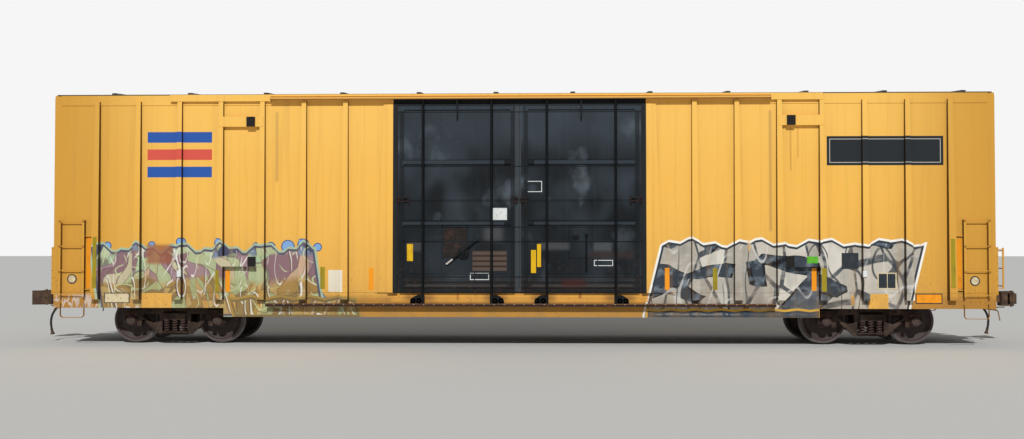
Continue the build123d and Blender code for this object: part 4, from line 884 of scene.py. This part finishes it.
HOSE_ROUTE = np.array([
    (9.838, 0.33, 0.683),
    (9.907, 0.33, 0.582),
    (9.94, 0.333, 0.462),
    (9.941, 0.337, 0.339),
    (9.915, 0.341, 0.219),
])
HOSE_D = 0.046
for end, turn in (("b", 1), ("a", -1)):
    route = HOSE_ROUTE * (turn, turn, 1)
    curve = bpy.data.curves.new(f"air_hose_line_{end}", "CURVE")
    curve.dimensions = "3D"
    spline = curve.splines.new("NURBS")
    spline.points.add(len(route) - 1)
    spline.points.foreach_set("co", np.column_stack([route, np.ones(len(route))]).ravel())
    spline.order_u = 3
    spline.use_endpoint_u = True
    curve.resolution_u = 12
    hose = bpy.data.objects.new(f"air_hose_line_{end}", curve)
    bpy.context.collection.objects.link(hose)
    # The spline's own points, read before it gets its thickness, carry the clamps
    line = bpy.data.meshes.new_from_object(hose)
    points = np.empty(len(line.vertices) * 3)
    line.vertices.foreach_get("co", points)
    points = points.reshape(-1, 3)
    curve.bevel_depth = HOSE_D / 2
    curve.bevel_resolution = 4
    curve.use_fill_caps = True
    curve.materials.append(FINISHES["hose_rubber"])
    clamps = []
    for start in (1, len(points) - 4):
        ring = points[start:start + 3]
        clamps.append(tube(ring, HOSE_D / 2 + 0.005, ALONG_Y, 20))
        clamps.append(block(ring[1] - (0.012, 0.04, 0.01), ring[1] + (0.012, -0.024, 0.01)))
    clamp = piece(f"hose_clamps_{end}", clamps, "gladhand_iron")
    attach(hose, "carbody")
    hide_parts(f"air_hose_{end}")

# Springs: six coils in each side frame, five turns each, every one round a core

SPRING_LOW, SPRING_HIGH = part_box("springs_b")[0][2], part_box("springs_b")[1][2]
WIRE = 0.014
COIL_R = 0.062 - WIRE
turns = np.linspace(0, 5.2, 110)
climb = np.interp(turns, [0, 0.6, 4.6, 5.2], [0, 0.012, 1 - 0.012, 1])
coil = tube(np.column_stack([
    COIL_R * np.cos(2 * math.pi * turns),
    COIL_R * np.sin(2 * math.pi * turns),
    SPRING_LOW + WIRE + climb * (SPRING_HIGH - SPRING_LOW - 2 * WIRE),
]), WIRE)
core = lathe([(SPRING_LOW + 0.001, 0.026), (SPRING_HIGH - 0.001, 0.026)], (0, 0, 0), ALONG_Z, 12)
for end, turn in (("b", 1), ("a", -1)):
    places = [
        (turn * TRUCK_X + column * 0.165, hand * (1.003 + row * 0.066), 0)
        for column in (-1, 0, 1) for row in (-1, 1) for hand in (-1, 1)
    ]
    piece(
        f"coil_springs_{end}", [scattered(coil, places), scattered(core, places)],
        "spring_steel", body=f"truck_{end}", smooth=60, hides=[f"springs_{end}"],
    )

# Three bolts hold the cap on each axle end
angle = np.arange(3) * 2 * math.pi / 3 + 0.5
axles = [truck + axle for truck in (-TRUCK_X, TRUCK_X) for axle in (-HALF_WHEELBASE, HALF_WHEELBASE)]
for number, middle in enumerate(axles, start=1):
    places = np.column_stack([
        middle + 0.052 * np.cos(angle), np.full(3, AXLE_END_Y), AXLE_Z + 0.052 * np.sin(angle)
    ])
    piece(
        f"axle_cap_bolts_{number}", [bolts(0.012, 0.016, ALONG_Y, places)],
        "bolt_steel", BOTH_SIDES, f"rolling_{number}",
    )

# Reflective strips and blank plates. How far the face under one stands out of the sheet is
# (metres at the posts' foot, metres more for each metre up): posts grow thinner upwards.
FLUSH = (0.0, 0.0)
ON_POST = (0.126, -0.06 / 3.975)
ON_STOP = (0.124, 0.0)
ON_DOOR = (DOOR_Y - SIDE_Y, 0.0)


def card(left, right, bottom, top, stand, thick=0.003):
    """A thin plate on the near side, leaning with the face that it lies on."""
    corners, quads, fans = block((left, 0, bottom), (right, thick, top), 0.0008)
    lean = stand[0] + stand[1] * (corners[:, 2] - POST_FOOT_Z)
    corners = corners - np.column_stack([0 * lean, SIDE_Y + lean + thick, 0 * lean])
    return corners, quads, fans


CARDS = {
    "orange_sheeting": (
        (-8.729, -8.6, 1.158, 2.184, FLUSH),
        (-5.903, -5.809, 1.081, 1.522, FLUSH),
        (-3.013, -2.918, 1.124, 1.563, FLUSH),
        (2.892, 2.983, 1.131, 1.566, FLUSH),
        (5.787, 5.882, 1.114, 1.568, FLUSH),
        (8.608, 8.726, 1.176, 2.141, FLUSH),
    ),
    "olive_sheeting": (
        (-8.561, -8.48, 1.158, 2.184, ON_POST),
        (-6.073, -6.001, 1.081, 1.521, ON_POST),
        (-3.988, -3.894, 1.143, 1.583, FLUSH),
        (3.84, 3.932, 1.132, 1.567, FLUSH),
        (5.955, 6.051, 1.105, 1.568, ON_POST),
        (8.478, 8.56, 1.176, 2.141, ON_POST),
    ),
    "yellow_sheeting": (
        (-2.243, -2.122, 1.703, 2.043, ON_DOOR),
        (0.234, 0.333, 1.466, 1.923, ON_DOOR),
        (0.354, 0.433, 1.585, 2.043, ON_DOOR),
    ),
    "cream_plate": (
        (-8.345, -7.86, 0.871, 1.045, FLUSH, 0.005),
        (7.075, 7.453, 1.15, 1.476, FLUSH, 0.004),
    ),
    "dark_plate": (
        (-8.362, -7.843, 0.858, 1.058, FLUSH, 0.004),
        (6.378, 6.708, 1.549, 1.865, FLUSH, 0.004),
        (7.1, 7.262, 1.172, 1.454, FLUSH, 0.005),
        (7.276, 7.428, 1.172, 1.454, FLUSH, 0.005),
        (7.819, 8.343, 0.861, 1.064, FLUSH, 0.004),
    ),
    "orange_plate": ((7.838, 8.324, 0.88, 1.045, FLUSH, 0.006),),
    "green_label": ((5.671, 5.886, 1.662, 1.797, ON_STOP, 0.004),),
    "white_label": (
        (-0.524, -0.244, 2.521, 2.761, ON_DOOR, 0.002),
        (-6.842, -6.76, 1.39, 1.515, ON_POST, 0.03),
        (6.757, 6.838, 1.391, 1.515, ON_POST, 0.03),
    ),
}
for material, rows in CARDS.items():
    cards = [card(*row) for row in rows]
    piece(f"cards_{material}", cards, material, TURNED_ROUND, smooth=25)

# A round blank plate with a paler face hangs behind each ladder
for name, material, profile in (
    ("round_plates", "dark_plate", [(0, 0.098), (0.004, 0.098), (0.005, 0.08), (0.0055, 0.078)]),
    ("round_plate_faces", "cream_plate", [(0.004, 0.076), (0.0075, 0.074), (0.0078, 0.05)]),
):
    plates = [
        flipped(lathe(profile, (x, SIDE_Y, z), ALONG_Y, 28), "y")
        for x, z in ((-9.019, 1.338), (8.982, 1.313))
    ]
    piece(name, plates, material, TURNED_ROUND, smooth=25)

# Outlined boxes on the doors are four thin strips each
LINE = 0.014
outlines = []
for left, right, bottom, top in (
    (-0.982, -0.603, 1.326, 1.465),
    (1.486, 1.863, 1.606, 1.725),
    (0.155, 0.454, 3.079, 3.299),
):
    outlines += [
        card(*row, ON_DOOR, 0.002) for row in (
            (left, right, bottom, bottom + LINE),
            (left, right, top - LINE, top),
            (left, left + LINE, bottom + LINE, top - LINE),
            (right - LINE, right, bottom + LINE, top - LINE),
        )
    ]
piece("outlined_boxes", outlines, "white_label", TURNED_ROUND, smooth=25)

# Doors: straps across the panels and up them, then keepers at the frames' edges

PANEL_BACK = DOOR_Y - 0.002
straps = [
    block((0.17, PANEL_BACK, z), (2.308, DOOR_Y + 0.01, z + 0.022))
    for z in (2.894, 2.09, 1.435, 1.235)
]
straps += [block((x, PANEL_BACK, 1.134), (x + 0.02, DOOR_Y + 0.006, 4.72)) for x in (0.88, 1.55)]
piece("door_straps", straps, "door_paint", QUARTERS, smooth=30)

KEEPER_Z = 2.925
keepers = [
    block((0.02, PANEL_BACK, z), (0.18, FRAME_Y + 0.01, z + 0.022))
    for z in (KEEPER_Z - 0.045, KEEPER_Z + 0.02)
]
keepers += [
    block((2.2, PANEL_BACK, z), (2.47, FRAME_Y + 0.012, z + 0.02))
    for z in (KEEPER_Z - 0.04, KEEPER_Z + 0.03)
]
keepers += [
    lathe([(-0.075, 0.014), (0.075, 0.014)], (x, FRAME_Y + 0.006, KEEPER_Z), ALONG_Z, 10)
    for x in (0.06, 2.215, 2.4)
]
keepers += [
    block((2.48, SIDE_Y - 0.002, z), (2.525, DOOR_Y + 0.024, z + 0.06))
    for z in (3.18, 3.08, 1.9, 1.8)
]
piece("door_keepers", keepers, "hinge_steel", QUARTERS)

frame_bolts = [(x, FRAME_Y, z) for x in (0.13, 2.348) for z in np.arange(1.18, 4.75, 0.3)]
frame_bolts += [(x, FRAME_Y, z) for z in (1.104, 4.77) for x in np.arange(0.3, 2.25, 0.24)]
piece(
    "door_bolts", [bolts(0.011, 0.01, ALONG_Y, frame_bolts)], "door_paint", QUARTERS
)

# The left door's gear has a slanting handle with a bright tip, the right door's an upright one.
# Both are written at +Y, so they are mirrored to the near side and then turned to the far one.
PLATE_Y = DOOR_Y + 0.008
RIM_Y = DOOR_Y + 0.022
left_gear = [
    block((-1.545, DOOR_Y, 1.762), (-1.521, RIM_Y, 2.4)),
    block((-1.044, DOOR_Y, 1.762), (-1.02, RIM_Y, 2.4)),
    block((-1.545, DOOR_Y, 2.376), (-1.02, RIM_Y, 2.4)),
    lathe(
        [
            (0.006, 0.115), (0.046, 0.115), (0.05, 0.085), (0.052, 0.07), (0.06, 0.04),
            (0.074, 0.022),
        ],
        (-1.12, DOOR_Y, 1.865), ALONG_Y, 28,
    ),
    tube(rounded([
        (-1.33, DOOR_Y + 0.046, 1.735), (-1.15, DOOR_Y + 0.06, 1.873),
        (-0.98, DOOR_Y + 0.06, 2.01), (-0.875, DOOR_Y + 0.046, 2.105),
        (-0.8, DOOR_Y + 0.02, 2.11),
    ], 0.06), 0.017, ALONG_Y),
    block((-0.905, PANEL_BACK, 2.075), (-0.56, PLATE_Y, 2.105)),
]
right_gear = [
    block((0.994, PANEL_BACK, 1.758), (1.456, PLATE_Y, 2.387)),
    block((0.982, DOOR_Y, 1.746), (1.006, RIM_Y, 2.398)),
    block((1.444, DOOR_Y, 1.746), (1.468, RIM_Y, 2.398)),
    lathe(
        [(0.006, 0.072), (0.026, 0.072), (0.032, 0.05), (0.044, 0.05), (0.05, 0.02)],
        (1.12, DOOR_Y, 2.195), ALONG_Y, 24,
    ),
    block((1.3, PANEL_BACK, 2.205), (1.37, DOOR_Y + 0.04, 2.245)),
    tube(rounded([
        (1.335, DOOR_Y + 0.02, 2.222), (1.335, DOOR_Y + 0.058, 2.21),
        (1.335, DOOR_Y + 0.058, 1.54), (1.335, DOOR_Y + 0.02, 1.505),
    ], 0.03), 0.018, ALONG_Y),
    block((1.315, PANEL_BACK, 1.49), (1.355, DOOR_Y + 0.03, 1.54)),
]
plate_bolts = [(x, PLATE_Y, z) for x in (-1.49, -1.28, -1.08) for z in (1.82, 2.34)]
plate_bolts += [(x, PLATE_Y, z) for x in (1.04, 1.22, 1.41) for z in (1.8, 2.34)]
gear = left_gear + right_gear + [bolts(0.012, 0.01, ALONG_Y, plate_bolts)]
gear_plate = block((-1.533, PANEL_BACK, 1.774), (-1.032, PLATE_Y, 2.389))
grip = tube([
    (-1.455, DOOR_Y + 0.04, 1.64), (-1.39, DOOR_Y + 0.042, 1.689),
    (-1.325, DOOR_Y + 0.046, 1.739),
], 0.019, ALONG_Y)
for name, shapes, material, hides in (
    ("gear_fittings", gear, "door_paint", ["door_gear"]),
    ("gear_plates", [gear_plate], "gear_enamel", []),
    ("gear_grips", [grip], "worn_grip_steel", []),
):
    near = flipped(joined(shapes), "y")
    piece(name, [near], material, TURNED_ROUND, hides=hides)

# Rollers under the carriages run on the lower track
rollers = [
    lathe(
        [
            (0, 0.03), (0, 0.052), (0.006, 0.058), (0.026, 0.058), (0.032, 0.052),
            (0.032, 0.02), (0.04, 0.018),
        ],
        (x, ROD_Y + 0.004, 0.918), ALONG_Y, 20,
    )
    for x in (0.48, 0.36, 1.99, 2.11)
]
piece("carriage_rollers", rollers, "door_paint", QUARTERS)

# A dark gasket follows the outer edge of each pair of doors
GASKET_YS = (DOOR_Y - 0.03, DOOR_Y + 0.012)
gasket = [
    block((2.428, GASKET_YS[0], 1.08), (2.446, GASKET_YS[1], 4.826)),
    block((0.006, GASKET_YS[0], 4.816), (2.43, GASKET_YS[1], 4.834)),
]
piece("door_gaskets", gasket, "hose_rubber", QUARTERS)

# Bolts along the corners, the ladders' feet and the side sill
side_bolts = [(9.425, SIDE_Y, z) for z in np.arange(1.08, 1.96, 0.145)]
side_bolts += [(x, SIDE_Y, z) for x in LADDER_XS for z in (0.985, 2.5)]
side_bolts += [(x, SIDE_Y, 0.9) for x in (*LADDER_XS, 8.9, 9.08)]
side_bolts += [(x, SIDE_Y, 0.955) for x in np.arange(6.2, 9.3, 0.26)]
piece(
    "side_bolts", [bolts(0.011, 0.012, ALONG_Y, side_bolts)], "stop_paint", QUARTERS
)

# Ladder feet: a bent lug from each stile to the wall
lugs = [
    block((x - 0.03, SIDE_Y - 0.001, z - 0.022), (x + 0.03, SIDE_Y + 0.008, z + 0.022))
    for x in LADDER_XS for z in (0.985, 1.7, 2.48)
]
lugs += [
    block((8.57, SIDE_Y - 0.001, z), (8.743, SIDE_Y + 0.045, z + 0.018)) for z in (1.12, 2.19)
]
piece("ladder_lugs", lugs, "stop_paint", QUARTERS)

# Ends: rivets along the end sill and the corner posts
rivets = [(BODY_X, y, z) for y in np.arange(0.33, 1.42, 0.18) for z in (0.8, 1.03)]
piece(
    "end_sill_rivets", [bolts(0.011, 0.01, ALONG_X, rivets)],
    "frame_paint", QUARTERS,
)
rivets = [(BODY_X, 1.43, z) for z in np.arange(1.25, 4.95, 0.31)]
piece(
    "corner_post_rivets", [bolts(0.01, 0.009, ALONG_X, rivets)],
    "stop_paint", QUARTERS,
)

# The hand brake's housing has a flange with bolts, two ribs, a bearing boss and a release lever
FLANGE_X = 9.478
housing = [
    block((9.468, -0.572, 1.706), (FLANGE_X, -0.288, 2.09)),
    block((9.476, -0.525, 1.74), (9.49, -0.507, 2.056)),
    block((9.476, -0.353, 1.74), (9.49, -0.335, 2.056)),
    lathe(
        [(0, 0.078), (0.018, 0.078), (0.026, 0.06), (0.03, 0.045), (0.044, 0.045)],
        (9.476, -0.43, 1.928), ALONG_X, 24,
    ),
    tube(rounded([
        (9.474, -0.31, 1.76), (9.504, -0.3, 1.74), (9.504, -0.262, 1.6),
        (9.504, -0.25, 1.57),
    ], 0.03), 0.008, ALONG_X),
    bolts(0.01, 0.01, ALONG_X, [
        (FLANGE_X, y, z) for y in (-0.556, -0.304) for z in (1.722, 1.83, 1.966, 2.074)
    ]),
]
piece("hand_brake_fittings", housing, "fitting_paint")

# Under the floor: air pipes between valve, reservoir and cylinder, the cylinder lever and its rods
PIPE_R = 0.014
LEVER_END = (-1.35, -0.29, 0.748)
rigging = [
    tube(rounded([
        (-0.32, 0.66, 0.9), (-0.08, 0.66, 0.9), (-0.02, 0.65, 0.86),
        (0.16, 0.64, 0.86),
    ], 0.05), PIPE_R, (0, 1, 0.3)),
    tube(rounded([
        (-0.43, 0.58, 0.78), (-0.43, 0.42, 0.72), (-0.43, -0.4, 0.72),
        (-0.64, -0.62, 0.73), (-1.645, -0.62, 0.74),
    ], 0.1), PIPE_R),
    block((-1.375, -0.7, 0.776), (-1.325, -0.27, 0.8)),
    tube([LEVER_END, (-3.4, -0.29, 0.744), (-5.42, -0.29, 0.74)], 0.011),
    tube([LEVER_END, (2.0, -0.29, 0.744), (5.42, -0.29, 0.74)], 0.011),
    lathe([(-0.012, 0.024), (0.062, 0.024)], LEVER_END, ALONG_Z, 10),
    lathe([(-0.012, 0.022), (0.03, 0.022)], (-1.35, -0.62, 0.776), ALONG_Z, 10),
]
piece("brake_rigging", rigging, "brake_paint")

# Rivets on the side frames, as distance from the truck's middle and height
FRAME_RIVETS = (
    (0.735, 0.5), (0.735, 0.61), (0.889, 0.66), (0.4, 0.67), (0.52, 0.668),
    (0.06, 0.225), (0.18, 0.225),
)
for end, turn in (("a", -1), ("b", 1)):
    places = [
        (turn * TRUCK_X + side * x, SIDE_FRAME_Y, z) for side in (-1, 1) for x, z in FRAME_RIVETS
    ]
    piece(
        f"side_frame_rivets_{end}", [bolts(0.012, 0.01, ALONG_Y, places)],
        "truck_steel", BOTH_SIDES, f"truck_{end}",
    )

# Bolts hold each roof cap, and the roof falls 82 mm a metre towards the eaves
places = [
    (x, y, 5.209 - 0.0823 * y)
    for x in FIRST_CAP_X + CAP_PITCH * np.arange(12) for y in (0.3, 0.72, 1.14, 1.42)
]
piece(
    "roof_bolts", [bolts(0.01, 0.008, ALONG_Z, places)], "roof_metal", BOTH_SIDES
)

# Studio: a pale floor, a frontal sun that is soft at its edge, and a pale sky

FLOOR_HALF = 200
floor_mesh = bpy.data.meshes.new("studio_floor")
floor_corners = [(FLOOR_HALF * x, FLOOR_HALF * y, 0) for x, y in ((-1, -1), (1, -1), (1, 1), (-1, 1))]
floor_mesh.from_pydata(floor_corners, [], [(0, 1, 2, 3)])
studio_floor = bpy.data.objects.new("studio_floor", floor_mesh)
bpy.context.collection.objects.link(studio_floor)
floor_finish = bpy.data.materials.new("pale_studio_floor")
floor_finish.use_nodes = True
floor_shader = floor_finish.node_tree.nodes["Principled BSDF"]
floor_shader.inputs["Base Color"].default_value = linear("#D9D9D6")
floor_shader.inputs["Roughness"].default_value = 0.9
floor_mesh.materials.append(floor_finish)

sun_data = bpy.data.lights.new("key", "SUN")
sun_data.energy = 2.55
sun_data.angle = math.radians(1.2)
sun = bpy.data.objects.new("key", sun_data)
sun.rotation_euler = (math.radians(53.5), 0, 0)
bpy.context.collection.objects.link(sun)

# The sky is brighter to the camera than as a light
world = bpy.data.worlds.new("studio")
bpy.context.scene.world = world
world.use_nodes = True
sky = world.node_tree
background = sky.nodes["Background"]
seen = add(sky, "LightPath")
strength = add(sky, "MapRange", inputs={0: seen, 3: 0.24, 4: 0.92})
background.inputs["Color"].default_value = linear("#FFFFFF")
sky.links.new(strength, background.inputs["Strength"])

bpy.context.scene.view_settings.view_transform = "Standard"
